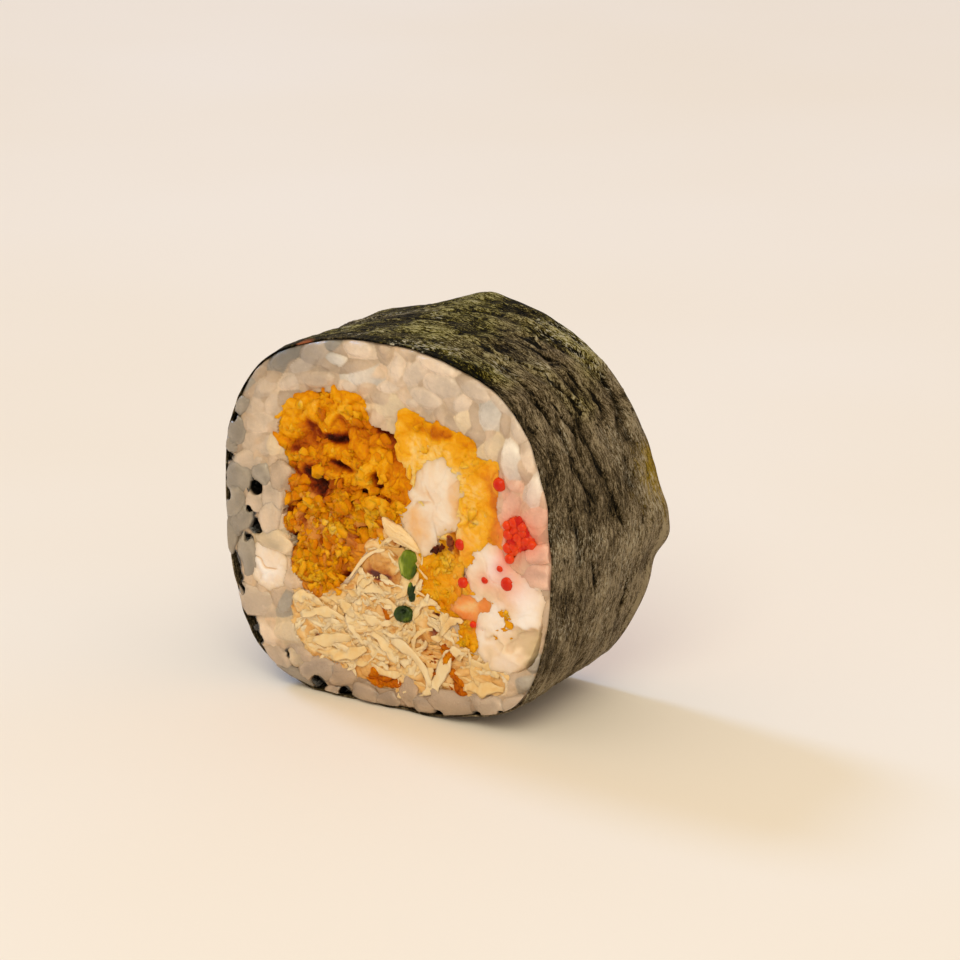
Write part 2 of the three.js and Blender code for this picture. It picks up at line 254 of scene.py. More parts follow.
def makeMesh(points, faces, values=None, colours=None):
    # One mesh from an array of points, a list of face arrays, and the values and colours that each
    # point carries.
    corners = np.concatenate([f.ravel() for f in faces]).astype(np.int32)
    sizes = np.concatenate([np.full(len(f), f.shape[1]) for f in faces])
    mesh = bpy.data.meshes.new("piece")
    mesh.vertices.add(len(points))
    mesh.vertices.foreach_set("co", ((points + shift) / 1000).astype(np.float32).ravel())
    mesh.loops.add(len(corners))
    mesh.loops.foreach_set("vertex_index", corners)
    mesh.polygons.add(len(sizes))
    mesh.polygons.foreach_set("loop_start", (np.cumsum(sizes) - sizes).astype(np.int32))
    mesh.update(calc_edges=True)
    mesh.polygons.foreach_set("use_smooth", np.ones(len(sizes), bool))
    for key, value in (values or {}).items():
        carried = mesh.attributes.new(key, "FLOAT", "POINT")
        carried.data.foreach_set("value", value.astype(np.float32).ravel())
    for key, value in (colours or {}).items():
        full = np.concatenate([value, np.ones((len(value), 1))], 1)
        carried = mesh.attributes.new(key, "FLOAT_COLOR", "POINT")
        carried.data.foreach_set("color", full.astype(np.float32).ravel())
    return mesh


def addPiece(name, mesh, material, nodes):
    mesh.name = name
    mesh.materials.append(material)
    piece = bpy.data.objects.new(name, mesh)
    bpy.context.scene.collection.objects.link(piece)
    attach(piece, "root")
    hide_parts(*nodes)
    print(name, len(mesh.vertices), "points")
    return piece


def ringFaces(rows, steps, wrapRows=False):
    # Four-sided faces between neighbouring rows of closed rings.
    row = np.arange(rows if wrapRows else rows - 1)[:, None]
    step = np.arange(steps)[None]
    a = row * steps + step
    b = ((row + 1) % rows) * steps + step
    after = (step + 1) % steps - step
    return np.stack([a, b, b + after, a + after], -1).reshape(-1, 4)


def cappedFaces(rows, steps):
    # Rings between two poles: the first point is one pole and the last point is the other.
    step = np.arange(steps)
    after = (step + 1) % steps
    last = 1 + rows * steps
    first = np.stack([np.zeros(steps, int), 1 + step, 1 + after], -1)
    end = np.stack([np.full(steps, last), last - steps + after, last - steps + step], -1)
    return [first, ringFaces(rows, steps) + 1, end]


def ball(rows, steps):
    # Unit ball with its poles on x: rings at even angles between them.
    polar = np.arange(1, rows + 1) / (rows + 1) * np.pi
    circle = onCircle(np.arange(steps) / steps)
    across = np.sin(polar)[:, None, None] * circle
    ring = np.concatenate([np.cos(polar)[:, None, None] * np.ones((1, steps, 1)), across], -1)
    points = np.concatenate([[[1, 0, 0]], ring.reshape(-1, 3), [[-1, 0, 0]]])
    return points, cappedFaces(rows, steps)


def copies(faces, pointCount, count):
    # The same faces for each of count copies that lie one after another.
    offset = (np.arange(count) * pointCount)[:, None, None]
    return [(f[None] + offset).reshape(-1, f.shape[1]) for f in faces]


def turnedFaces(faces, turn):
    # The same faces with their other side outwards, for shapes that are mirrored onto the back cut.
    return [f[:, ::-1] for f in faces] if turn else faces


def cutBody(edge, middle, rings, face, power=1.0):
    # A closed body between the two cuts. Each ring is the outline shrunk towards the middle, by
    # even steps raised to the power, and face(flat, onBack) gives how far a point stands out of its
    # cut, with the values it carries. edge holds the outline at the front cut and at the back cut.
    parts = {}
    for onBack, (outline, count) in enumerate(zip(edge, rings)):
        radius = (np.arange(count + 1) / count) ** power
        flat = middle + radius[:, None, None] * (outline - middle)
        height, carried = face(flat, onBack)
        for key, value in {"points": cutPoints(flat, height, onBack), **carried}.items():
            pole = value[:1, 0]
            rows = (value[:0:-1] if onBack else value[1:]).reshape(-1, *value.shape[2:])
            ordered = [rows, pole] if onBack else [pole, rows]
            parts.setdefault(key, []).append(np.concatenate(ordered))
    joined = {key: np.concatenate(value) for key, value in parts.items()}
    return joined.pop("points"), cappedFaces(rings[0] + rings[1], len(edge[0])), joined


class Wire:
    # A node's output, whose sums and products with numbers or other outputs become Math nodes.
    def __init__(self, socket):
        self.socket = socket

    def node(self, kind, settings=None, inputs=None, output=0):
        made = self.socket.id_data.nodes.new("ShaderNode" + kind)
        for key, value in (settings or {}).items():
            if key == "stops":
                ramp = made.color_ramp
                while len(ramp.elements) < len(value):
                    ramp.elements.new(0.5)
                for element, (place, colour) in zip(ramp.elements, value):
                    element.position, element.color = place, colour
            else:
                setattr(made, key, value)
        for key, value in (inputs or {}).items():
            if isinstance(value, Wire):
                self.socket.id_data.links.new(value.socket, made.inputs[key])
            else:
                made.inputs[key].default_value = value
        return Wire(made.outputs[output])

    def math(self, operation, first, second):
        return self.node("Math", {"operation": operation}, {0: first, 1: second})

    def __add__(self, other):
        return self.math("ADD", self, other)

    def __radd__(self, other):
        return self.math("ADD", other, self)

    def __sub__(self, other):
        return self.math("SUBTRACT", self, other)

    def __rsub__(self, other):
        return self.math("SUBTRACT", other, self)

    def __mul__(self, other):
        return self.math("MULTIPLY", self, other)

    def __rmul__(self, other):
        return self.math("MULTIPLY", other, self)

    def between(self, low, high):
        # 0 at low and 1 at high, eased between them.
        settings = {"interpolation_type": "SMOOTHSTEP"}
        return self.node("MapRange", settings, {0: self, 1: low, 2: high})

    def mixed(self, first, second):
        # The two colours mixed by this value.
        return self.node("Mix", {"data_type": "RGBA"}, {0: self, 6: first, 7: second}, 2)


def srgb(red, green, blue):
    # A screen colour from 0 to 255 as linear light.
    value = np.array([red, green, blue]) / 255
    linear = np.where(value > 0.04045, ((value + 0.055) / 1.055) ** 2.4, value / 12.92)
    return tuple(float(v) for v in linear) + (1.0,)


def newMaterial(name):
    # A material with one Principled shader, and a wire to start expressions from.
    material = bpy.data.materials.new(name)
    material.use_nodes = True
    nodes = material.node_tree.nodes
    shader = nodes["Principled BSDF"]
    place = Wire(nodes.new("ShaderNodeTexCoord").outputs["Object"])
    return material, shader, place


def setShader(shader, constants, links):
    for key, value in constants.items():
        shader.inputs[key].default_value = value
    for key, wire in links.items():
        shader.id_data.links.new(wire.socket, shader.inputs[key])


def noiseWire(vector, scale, detail, roughness=0.5, distortion=0.0):
    return vector.node("TexNoise", {}, {
        "Vector": vector, "Scale": scale, "Detail": detail, "Roughness": roughness,
        "Distortion": distortion,
    })


def carriedWire(place, name, output="Fac"):
    # What the points of the mesh carry under this name.
    return place.node("Attribute", {"attribute_name": name}, {}, output)


def foodMaterial(name, look):
    # Moist food: the carried shade, moved by two scales of noise, picks a colour from the stops, or
    # the carried tint is the colour. Noise also gives the gloss and the bumps.
    material, shader, place = newMaterial(name)
    coarse = noiseWire(place, look["coarse"], 4.0)
    fine = noiseWire(place, look["fine"], 6.0, 0.65)
    mottle = (coarse - 0.5) * look["coarseMottle"] + (fine - 0.5) * look["fineMottle"]
    if "stops" in look:
        shade = carriedWire(place, "shade") + mottle
        colour = place.node("ValToRGB", {"stops": look["stops"]}, {0: shade})
    else:
        level = mottle + 1.0
        grey = place.node("CombineColor", {}, {0: level, 1: level, 2: level})
        multiply = {"data_type": "RGBA", "blend_type": "MULTIPLY"}
        tint = carriedWire(place, "tint", "Color")
        colour = place.node("Mix", multiply, {0: 1.0, 6: tint, 7: grey}, 2)
    if "stainColour" in look:
        colour = carriedWire(place, "stain").mixed(colour, look["stainColour"])
    bump = place.node("Bump", {}, {
        "Strength": look["bump"], "Distance": look["bumpDepth"], "Height": coarse * 0.5 + fine,
    })
    roughness = (fine - 0.5) * look["glossSpread"] + look["roughness"]
    setShader(shader, {
        "Subsurface Weight": look["subsurface"],
        "Subsurface Radius": look["subsurfaceReach"],
        "Subsurface Scale": 0.001,
        "Coat Weight": look["coat"],
        "Coat Roughness": look["coatRoughness"],
        "Specular IOR Level": look["specular"],
    }, {"Base Color": colour, "Roughness": roughness, "Normal": bump})
    return material


seaweed = {
    "steps": 800,  # round the roll
    "rows": 104,  # from the front cut to the back cut
    "innerRows": 16,
    "girth": 176.0,  # mm round the roll
    "width": 28.0,  # mm across the sheet, half way up
    # Ridges as in the part's source: share, turn, reach, width, height.
    "ridges": (
        (0.1, 0.15, 0.07, 0.05, 0.5), (0.32, 0.13, 0.06, 0.05, 0.6), (0.51, 0.12, 0.07, 0.045, 0.6),
        (0.72, 0.14, 0.08, 0.05, 0.6), (0.93, 0.12, 0.06, 0.045, 0.4), (0.3, 0.21, 0.05, 0.06, 0.4),
        (0.55, 0.93, 0.07, 0.05, 0.35), (1, 0.984, 0.014, 0.16, 0.95), (1, 0.004, 0.015, 0.16, 0.8),
        (1, 0.255, 0.014, 0.3, 0.55), (1, 0.935, 0.02, 0.12, 0.5), (1, 0.965, 0.012, 0.1, -0.35),
        (1, 0.06, 0.012, 0.1, 0.25),
    ),
    "ridgeSlant": -1.2,
    # Furrows: turn and share of both ends, half width and depth in mm.
    "furrows": (
        (0.160, 0.81, 0.129, 0.90, 0.5, 0.6), (0.126, 0.88, 0.106, 0.84, 0.45, 0.5),
        (0.136, 0.42, 0.106, 0.53, 0.5, 0.6), (0.145, 0.62, 0.116, 0.63, 0.5, 0.7),
        (0.192, 0.69, 0.178, 0.68, 0.6, 0.6), (0.109, 0.60, 0.086, 0.61, 0.5, 0.6),
        (0.102, 0.31, 0.086, 0.40, 0.5, 0.5), (0.148, 0.21, 0.134, 0.22, 0.45, 0.5),
        (0.165, 0.56, 0.147, 0.64, 0.5, 0.5), (0.170, 0.29, 0.143, 0.43, 0.5, 0.6),
        (0.104, 0.97, 0.080, 0.95, 0.45, 0.5), (0.122, 0.22, 0.098, 0.22, 0.4, 0.4),
        (0.030, 0.55, 0.005, 0.62, 0.5, 0.35), (0.062, 0.30, 0.030, 0.36, 0.5, 0.35),
        (0.985, 0.35, 0.955, 0.42, 0.5, 0.35), (0.955, 0.75, 0.925, 0.80, 0.5, 0.4),
        (0.300, 0.45, 0.260, 0.52, 0.5, 0.4), (0.360, 0.62, 0.320, 0.66, 0.5, 0.4),
        (0.430, 0.30, 0.390, 0.34, 0.5, 0.35), (0.520, 0.55, 0.480, 0.61, 0.5, 0.35),
        (0.600, 0.40, 0.560, 0.44, 0.5, 0.35),
    ),
    "wrinkle": 0.42,  # mm, of the small creases that run round the roll
    "lumps": 0.22,  # mm, where grains press through
    "deepest": 0.5,  # mm, how far the sheet sinks at most
    "creased": (0.14, 0.09),  # turn with the strongest creases, and how far they reach
    # Low on the back rim, share and half width: the raised hem, the groove beside it, and its edge.
    "hem": (0.985, 0.02),
    "hemGroove": (0.94, 0.014),
    "hemLine": (0.958, 0.009),
    "hemRise": 0.4,
    "drawn": (3.8, 4.6),  # how much longer than wide the fibres are, and the bands and curls
    # Noises: what they follow, scale, detail, roughness, distortion.
    "noises": {
        "fibre": ("drawn", 62.0, 5.0, 0.74, 0.35), "pits": ("drawn", 130.0, 3.0, 0.6),
        "grain": ("place", 5200.0, 2.0), "bands": ("other", 12.0, 3.0, 0.6),
        "cloud": ("place", 130.0, 3.0), "patch": ("place", 60.0, 2.0),
        "darkCurls": ("other", 30.0, 4.0, 0.5, 0.8), "paleCurls": ("other", 34.0, 4.0, 0.5, 0.9),
    },
    # How much each noise makes the sheet darker or lighter.
    "weights": {"fibre": 1.7, "pits": 1.9, "grain": 1.3, "bands": 0.8, "cloud": 0.8},
    # Below the top: the sheet's colour under a painted greyish sheen.
    "greySheenStops": (
        (0.0, srgb(8, 6, 2)), (0.25, srgb(45, 38, 22)), (0.5, srgb(85, 73, 51)),
        (0.75, srgb(125, 111, 87)), (1.0, srgb(168, 153, 124)),
    ),
    "greenStops": (
        (0.0, srgb(8, 7, 2)), (0.3, srgb(36, 31, 5)), (0.55, srgb(72, 65, 16)),
        (0.8, srgb(124, 114, 46)), (1.0, srgb(184, 176, 120)),
    ),
    # Patches of another colour, in m: the middle, and the distances where they begin and are full.
    "yellow": ((0.0287, 0.0132, 0.0325), (0.0074, 0.0034)),
    "yellowDark": srgb(52, 40, 3), "yellowLight": srgb(178, 148, 24),
    "rust": ((-0.0146, -0.0142, 0.0518), (0.0019, 0.0008)),
    # Pale flecks: painted glints on the sheet.
    "rustColour": srgb(170, 100, 66), "glintFleckColour": srgb(214, 208, 186),
}


def nearTurn(turn, middle):
    # How far a turn lies from the middle, the short way round.
    return np.mod(turn - middle + 0.5, 1) - 0.5


def onDrum(turn, scale, across):
    # Places for a noise that closes round the roll: a circle, and the way across the sheet.
    return np.concatenate([onCircle(turn) * scale, across[..., None]], -1)


def creases(places, seed):
    # Sharp crests where the noise passes 0.
    return 1 - 2 * np.abs(noise(places, seed))


def seaweedOutside(turn, share):
    # How far the sheet stands out of the smooth skin: the ridges, less the furrows, plus creases
    # drawn out along the roll's turn, soft lumps over the grains, and a hem low on the back rim.
    # Also how deep each point is in a furrow.
    height = np.zeros_like(turn)
    furrow = np.zeros_like(turn)
    for ridgeShare, ridgeTurn, reach, width, rise in seaweed["ridges"]:
        side = nearTurn(turn, ridgeTurn)
        across = (share - ridgeShare - seaweed["ridgeSlant"] * side) / width
        height = height + rise * hill(across) * hill(side / reach)
    ends = smooth(0, 0.05, share) * smooth(1.0, 0.95, share)
    girth, deep = seaweed["girth"], share * seaweed["width"]
    bend = 1.1 * noise(onDrum(turn, 5, deep / 5), 3)
    for turnA, shareA, turnB, shareB, width, depth in seaweed["furrows"]:
        dx, dy = nearTurn(turn, turnA) * girth, deep + 0.5 * bend - shareA * seaweed["width"]
        along, away = fromLine(
            dx, dy, (turnB - turnA) * girth, (shareB - shareA) * seaweed["width"],
        )
        thin = 0.8 * width * (0.4 + 2.4 * along * (1 - along))  # widest half way along
        lip = 0.3 * hill((away - 2 * thin) / thin)
        height = height + 1.5 * depth * (lip - hill(away / thin)) * ends
        furrow = furrow + 1.6 * depth * hill(away / (0.9 * thin)) * ends
    slant = deep + turn * girth * 0.1 + bend
    crease = creases(onDrum(turn, 4.6, slant / 1.5), 11)
    crease = crease + 0.5 * creases(onDrum(turn, 9.5, slant / 0.7), 12)
    where, reach = seaweed["creased"]
    strength = 0.45 + 0.55 * hill(nearTurn(turn, where) / reach)
    lumps = fractal(onDrum(turn, 8.0, deep / 3.6), 2, 21)
    height = height + seaweed["wrinkle"] * strength * crease * ends
    height = height + seaweed["lumps"] * lumps * (0.3 + 0.7 * ends) - 0.12
    low = smooth(0.86, 0.9, turn) * smooth(1.0, 0.985, turn)
    hem, groove = (
        hill((share - at) / width) for at, width in (seaweed["hem"], seaweed["hemGroove"])
    )
    height = height + seaweed["hemRise"] * low * (hem - 0.7 * groove)
    return softFloor(height, -seaweed["deepest"], 0.09), furrow


def seaweedMesh():
    # The outside runs from the front rim to the back rim and the inside comes back, one wall lower.
    # The points carry their lift, which the material paints as light on raised parts and on the hem
    # line and as shade in the furrows and on the inside, and their place on the sheet as wound
    # round the roll.
    steps, rows, wall = seaweed["steps"], seaweed["rows"], roll["seaweedWall"]
    turn, share = np.meshgrid(np.arange(steps) / steps, np.linspace(0, 1, rows))
    outside = skin(turn, share)
    away = awayFromMiddle(outside)
    height, furrow = seaweedOutside(turn, share)
    flat = outside + away * height[..., None]
    flat[..., 1] = np.maximum(flat[..., 1], 0)
    inner = np.round(np.linspace(rows - 1, 0, seaweed["innerRows"])).astype(int)
    inside = flat[inner] - away[inner] * wall
    inside[..., 1] = np.maximum(inside[..., 1], wall)
    frontCut = 0.3 + 0.25 * fractal(onCircle(turn[0]) * 7, 3, 5)
    backCut = 0.1 + 0.1 * fractal(onCircle(turn[0]) * 7, 3, 6)
    flat = np.concatenate([flat, inside])
    allTurn, allShare = (np.concatenate([value, value[inner]]) for value in (turn, share))
    y = frontCut + allShare * (depthAt(flat[..., 1]) - frontCut - backCut)
    points = np.stack([flat[..., 0], y, flat[..., 1]], -1).reshape(-1, 3)
    sway = 1.2 * noise(onDrum(allTurn, 4.5, y / 9), 4)
    sway = sway + 0.2 * noise(onDrum(allTurn, 9, y / 5), 8)
    wound = onDrum(allTurn, 0.28, (y + sway) / 100).reshape(-1, 3)
    at, width = seaweed["hemLine"]
    hemLine = smooth(0.84, 0.88, turn) * hill((share - at) / width)
    # Painted light and shade: raised parts and the hem line lighter, furrows and the inside darker.
    lift = np.minimum(height, 0.3) + 0.7 * hemLine - 0.85 * np.minimum(furrow, 1)
    lift = np.concatenate([lift, np.full(inside.shape[:2], -0.5)])
    faces = ringFaces(rows + len(inner), steps, wrapRows=True)
    return makeMesh(points, [faces], {"lift": lift}, {"wound": wound})


def seaweedMaterial():
    # Toasted sheet. Fibres and pits drawn out round the roll, a fine grain, broad bands and clouds
    # add up to one streak, which is darker along dark curls and lighter along pale ones, with
    # painted shade in the furrows and painted light on raised parts. It picks a colour: green on
    # the top, and below it grey, the sheet under a painted greyish sheen, with painted light low on
    # the side.
    # Patches come over it, and pale flecks as painted glints.
    material, shader, place = newMaterial("toastedSeaweed")
    wound = carriedWire(place, "wound", "Vector")
    drawn, otherDrawn = seaweed["drawn"]
    follow = {
        "place": place,
        "drawn": place.node("Mapping", {}, {"Vector": wound, "Scale": (1.0, 1.0, drawn)}),
        "other": place.node("Mapping", {}, {
            "Vector": wound, "Scale": (1.0, 1.0, otherDrawn), "Location": (4.0, 2.0, 7.0),
        }),
    }
    swing = {
        key: noiseWire(follow[along], *values) - 0.5
        for key, (along, *values) in seaweed["noises"].items()
    }
    darkLines, paleLines = (
        1.0 - swing[key].math("ABSOLUTE", swing[key], 0.0).between(0.0, width)
        for key, width in (("darkCurls", 0.035), ("paleCurls", 0.04))
    )
    depth, height = (place.node("SeparateXYZ", {}, {0: place}, axis) for axis in (1, 2))
    onTop = (height + swing["patch"] * 0.04).between(0.046, 0.058)
    upper = height.between(0.036, 0.049)
    lower = height.between(0.034, 0.016)
    rim = onTop * depth.between(-0.0085, -0.0135)
    streak = sum(swing[key] * weight for key, weight in seaweed["weights"].items())
    # The lift adds painted light on raised parts and painted shade in the furrows.
    streak = streak + carriedWire(place, "lift") * 0.9 - darkLines * 0.34 + paleLines * 0.24
    streak = streak * (onTop * 0.34 + upper * 0.14 - lower * 0.02 + 0.74)
    # Painted light and shade on the side: darker high up and lighter low down. Darker near the
    # front rim on the top.
    streak = streak + 0.53 - upper * 0.08 + lower * 0.17 - rim * 0.22
    grey = place.node("ValToRGB", {"stops": seaweed["greySheenStops"]}, {0: streak})
    green = place.node("ValToRGB", {"stops": seaweed["greenStops"]}, {0: streak - 0.06})
    colour = onTop.mixed(grey, green)
    fromYellow, fromRust = (
        place.node("VectorMath", {"operation": "DISTANCE"}, {0: place, 1: seaweed[key][0]}, 1)
        for key in ("yellow", "rust")
    )
    yellow = (
        fromYellow + swing["fibre"] * 0.014 + swing["cloud"] * 0.014
    ).between(*seaweed["yellow"][1])
    olive = (streak * 1.1).mixed(seaweed["yellowDark"], seaweed["yellowLight"])
    colour = (yellow * 0.8).mixed(colour, olive)
    rust = fromRust.between(*seaweed["rust"][1])
    colour = (rust * 0.85).mixed(colour, seaweed["rustColour"])
    # Pale flecks as painted glints, more of them on the top.
    flake = swing["pits"].between(0.04, 0.12) * swing["cloud"].between(0.05, 0.12)
    colour = (flake * (onTop * 0.45 + 0.4)).mixed(colour, seaweed["glintFleckColour"])
    relief = swing["fibre"] + swing["pits"] * 0.7 - darkLines * 0.12
    bump = place.node("Bump", {}, {"Strength": 1.0, "Distance": 0.0006, "Height": relief})
    roughness = 0.6 + swing["cloud"] * 0.3 + swing["fibre"] * 0.3
    links = {"Base Color": colour, "Roughness": roughness, "Normal": bump}
    setShader(shader, {"Specular IOR Level": 0.05}, links)
    return material


addPiece("seaweed", seaweedMesh(), seaweedMaterial(), ["seaweed_sheet"])


roePlaces = {
    # x, z, radius
    "front": (
        (18.5, 36.6, 1.1), (21.0, 31.5, 0.95), (22.3, 31.0, 0.8), (20.0, 29.6, 0.9),
        (21.6, 29.4, 0.85), (23.0, 29.2, 0.8), (23.9, 28.7, 0.75), (19.9, 27.6, 0.8),
        (20.2, 26.1, 0.75), (20.9, 28.0, 0.75), (19.8, 30.9, 0.7), (12.1, 26.8, 0.95),
        (12.5, 21.2, 0.9), (16.3, 22.4, 0.6), (19.9, 22.3, 1.3), (18.8, 24.5, 0.5),
        (14.3, 15.4, 0.5), (22.4, 30.2, 0.75),
    ),
    "back": (
        (17.4, 37.4, 1.1), (20.6, 31.1, 1.0), (22.1, 30.0, 0.95), (20.1, 28.8, 0.9),
        (23.2, 28.2, 0.9), (20.7, 26.6, 0.9), (16.0, 24.3, 0.95), (19.3, 22.6, 1.1),
        (21.8, 32.3, 0.8), (15.0, 21.9, 0.8),
    ),
    "juice": (23.5, 30.5, 4.6, 6.0),  # x, z, half length, half width
    "cluster": (21.7, 29.2, 3.6, 4.6),
}


def roeStain(flat):
    # Red juice round the roe, which fades over a few millimetres.
    stain = 0
    for x, z, radius in roePlaces["front"]:
        distance = np.hypot(flat[..., 0] - x, flat[..., 1] - z)
        stain = stain + 0.3 * hill(distance / (radius * 2.2))
    wide = 0.5 * hill(ellipseDistance(flat, *roePlaces["juice"], 0))
    return np.clip(stain + wide, 0, 0.85)


def tinted(colour, amount, towards):
    return colour + (np.array(towards[:3]) - colour) * amount[..., None]


def foodFace(spec, flat, onBack):
    # Height and shade of a filling's cut. Patches, each a soft ellipse, raise or sink it and pull
    # the shade to their own, and the sunk ones mostly take dark shades: painted shade in the pits
    # together with a darker colour of the filling there. Then come stones with cracks between them,
    # at each size, each stone with its own height, tilt and shade, and painted shade in the cracks.
    # Last comes a plain noise.
    seed = spec["seed"] + 60 * onBack
    bent = flat + spec["bend"] * wander(flat / spec["bendSize"], seed)
    if onBack:
        bent = bent + 2.5 * wander(flat / 9.0, seed + 5)
    height = np.full(flat.shape[:-1], float(spec["proud"]))
    shade = np.full(flat.shape[:-1], float(spec["shade"]))
    for *ellipse, rise, tone in spec["patches"]:
        distance = ellipseDistance(bent, *ellipse)
        height = height + rise * np.exp(-(distance**2.6))
        shade = shade + (tone - shade) * np.exp(-(distance**3.6))
    for k, (size, stretch, degrees, rise, crack, tilt, spread) in enumerate(spec["stones"]):
        along, across = rotated(bent[..., 0], bent[..., 1], -np.radians(degrees))
        gap, own, way = cells(np.stack([along / stretch, across], -1) / size, seed + 3 * k + 1)
        groove = hill(gap / 0.2)
        lean = way[..., 0] * np.cos(own * 40) + way[..., 1] * np.sin(own * 40)
        height = height + rise * (own - 0.5) - crack * groove + tilt * lean
        # Painted shade: the cracks are darker.
        shade = shade + spread * (np.mod(own * 7.3, 1) - 0.5) + 0.4 * spread * groove
    for size, rise, spread in spec["grain"]:
        rough = fractal(flat / size, 3, seed + 41)
        height = height + rise * rough
        shade = shade + spread * rough
    return height, np.clip(shade, 0, 1)


def fillingMesh(spec):
    # The outline, made ragged along its normal by a noise, is filled with rings, and its faces roll
    # off softly at the rim.
    steps, rings = spec["steps"], spec["rings"]
    middle = np.array(spec["middle"], float)
    edge = sampled(spec["outline"], steps)
    tangent = np.roll(edge, -1, 0) - np.roll(edge, 1, 0)
    normal = np.stack([tangent[:, 1], -tangent[:, 0]], -1)
    normal = normal / np.linalg.norm(tangent, axis=-1, keepdims=True)
    rough = fractal(edge / spec["raggedSize"], 3, spec["seed"] + 9)
    edge = edge + normal * (spec["grow"] + spec["ragged"] * rough)[:, None]
    for share, inset in ((0.0, 0.6), (0.5, 1.4), (1.0, 1.4)):
        edge = insideRoll(edge, share, inset)

    def face(flat, onBack):
        height, shade = foodFace(spec, flat, onBack)
        radius = np.arange(flat.shape[0])[:, None] / (flat.shape[0] - 1)
        fromEdge = (1 - radius) * np.linalg.norm(edge - middle, axis=-1)[None]
        height = height - spec["rollOff"] * np.exp(-fromEdge / spec["rollWidth"])
        shade = np.clip(shade + spec["rim"] * np.exp(-fromEdge / 0.9), 0, 1)
        stain = roeStain(flat) * spec["stain"]
        for *ellipse, amount in spec["pale"]:
            weight = amount * hill(ellipseDistance(flat, *ellipse))
            stain = stain + weight * smooth(0.85, 0.55, shade)
        return softCeiling(height, 0.75, 0.15), {"shade": shade, "stain": np.clip(stain, 0, 1)}

    points, faces, carried = cutBody([edge, edge], middle, (rings, rings), face)
    return makeMesh(points, faces, carried)


fillingOutlines = []  # the rice keeps clear of them


def addFilling(name, spec, material, nodes):
    fillingOutlines.append(sampled(spec["outline"], 120))
    return addPiece(name, fillingMesh(spec), material, nodes)


def insideOutline(flat, outline):
    # Whether each point lies inside the outline: a line to its right crosses it an odd number of
    # times.
    a, b = outline, np.roll(outline, -1, 0)
    x, z = flat[..., 0, None], flat[..., 1, None]
    spans = (a[:, 1] > z) != (b[:, 1] > z)
    rise = np.where(b[:, 1] == a[:, 1], 1e-9, b[:, 1] - a[:, 1])
    crossing = a[:, 0] + (z - a[:, 1]) * (b[:, 0] - a[:, 0]) / rise
    return (spans & (x < crossing)).sum(-1) % 2 == 1


# What the fillings have in common. The lengths are in mm.
filling = {
    "patches": (),  # x, z, half length, half width, degrees, rise, shade
    "pale": (),  # x, z, half length, half width, degrees, share of the paler colour
    "clear": (),  # ellipses without flakes: x, z, half length, half width, degrees
    "nibs": (),  # dark nibs: x, z, size
    "proud": -0.1,  # how far the filling stands out of the cut
    "shade": 0.4,  # from 0 for the first colour stop to 1 for the last
    "stain": 0.0,  # how much of the roe's juice it takes on
    "rim": 0.0,  # change of shade at the rim
    "grow": 0.35, "ragged": 0.4, "raggedSize": 1.6,  # of the outline
    "rollOff": 0.5, "rollWidth": 0.4,  # of the rim
    "bend": 0.8, "bendSize": 2.6,  # how far and how broadly the patches are bent
    # size, stretch, degrees, rise, crack, tilt, shade spread
    "stones": (
        (3.3, 1.2, 20, 0.5, 0.2, 0.36, 0.16), (1.5, 1.35, -30, 0.26, 0.1, 0.24, 0.14),
        (0.7, 1.2, 50, 0.1, 0.05, 0.1, 0.08),
    ),
    "grain": ((0.5, 0.06, 0.05),),  # size, rise, shade spread
}

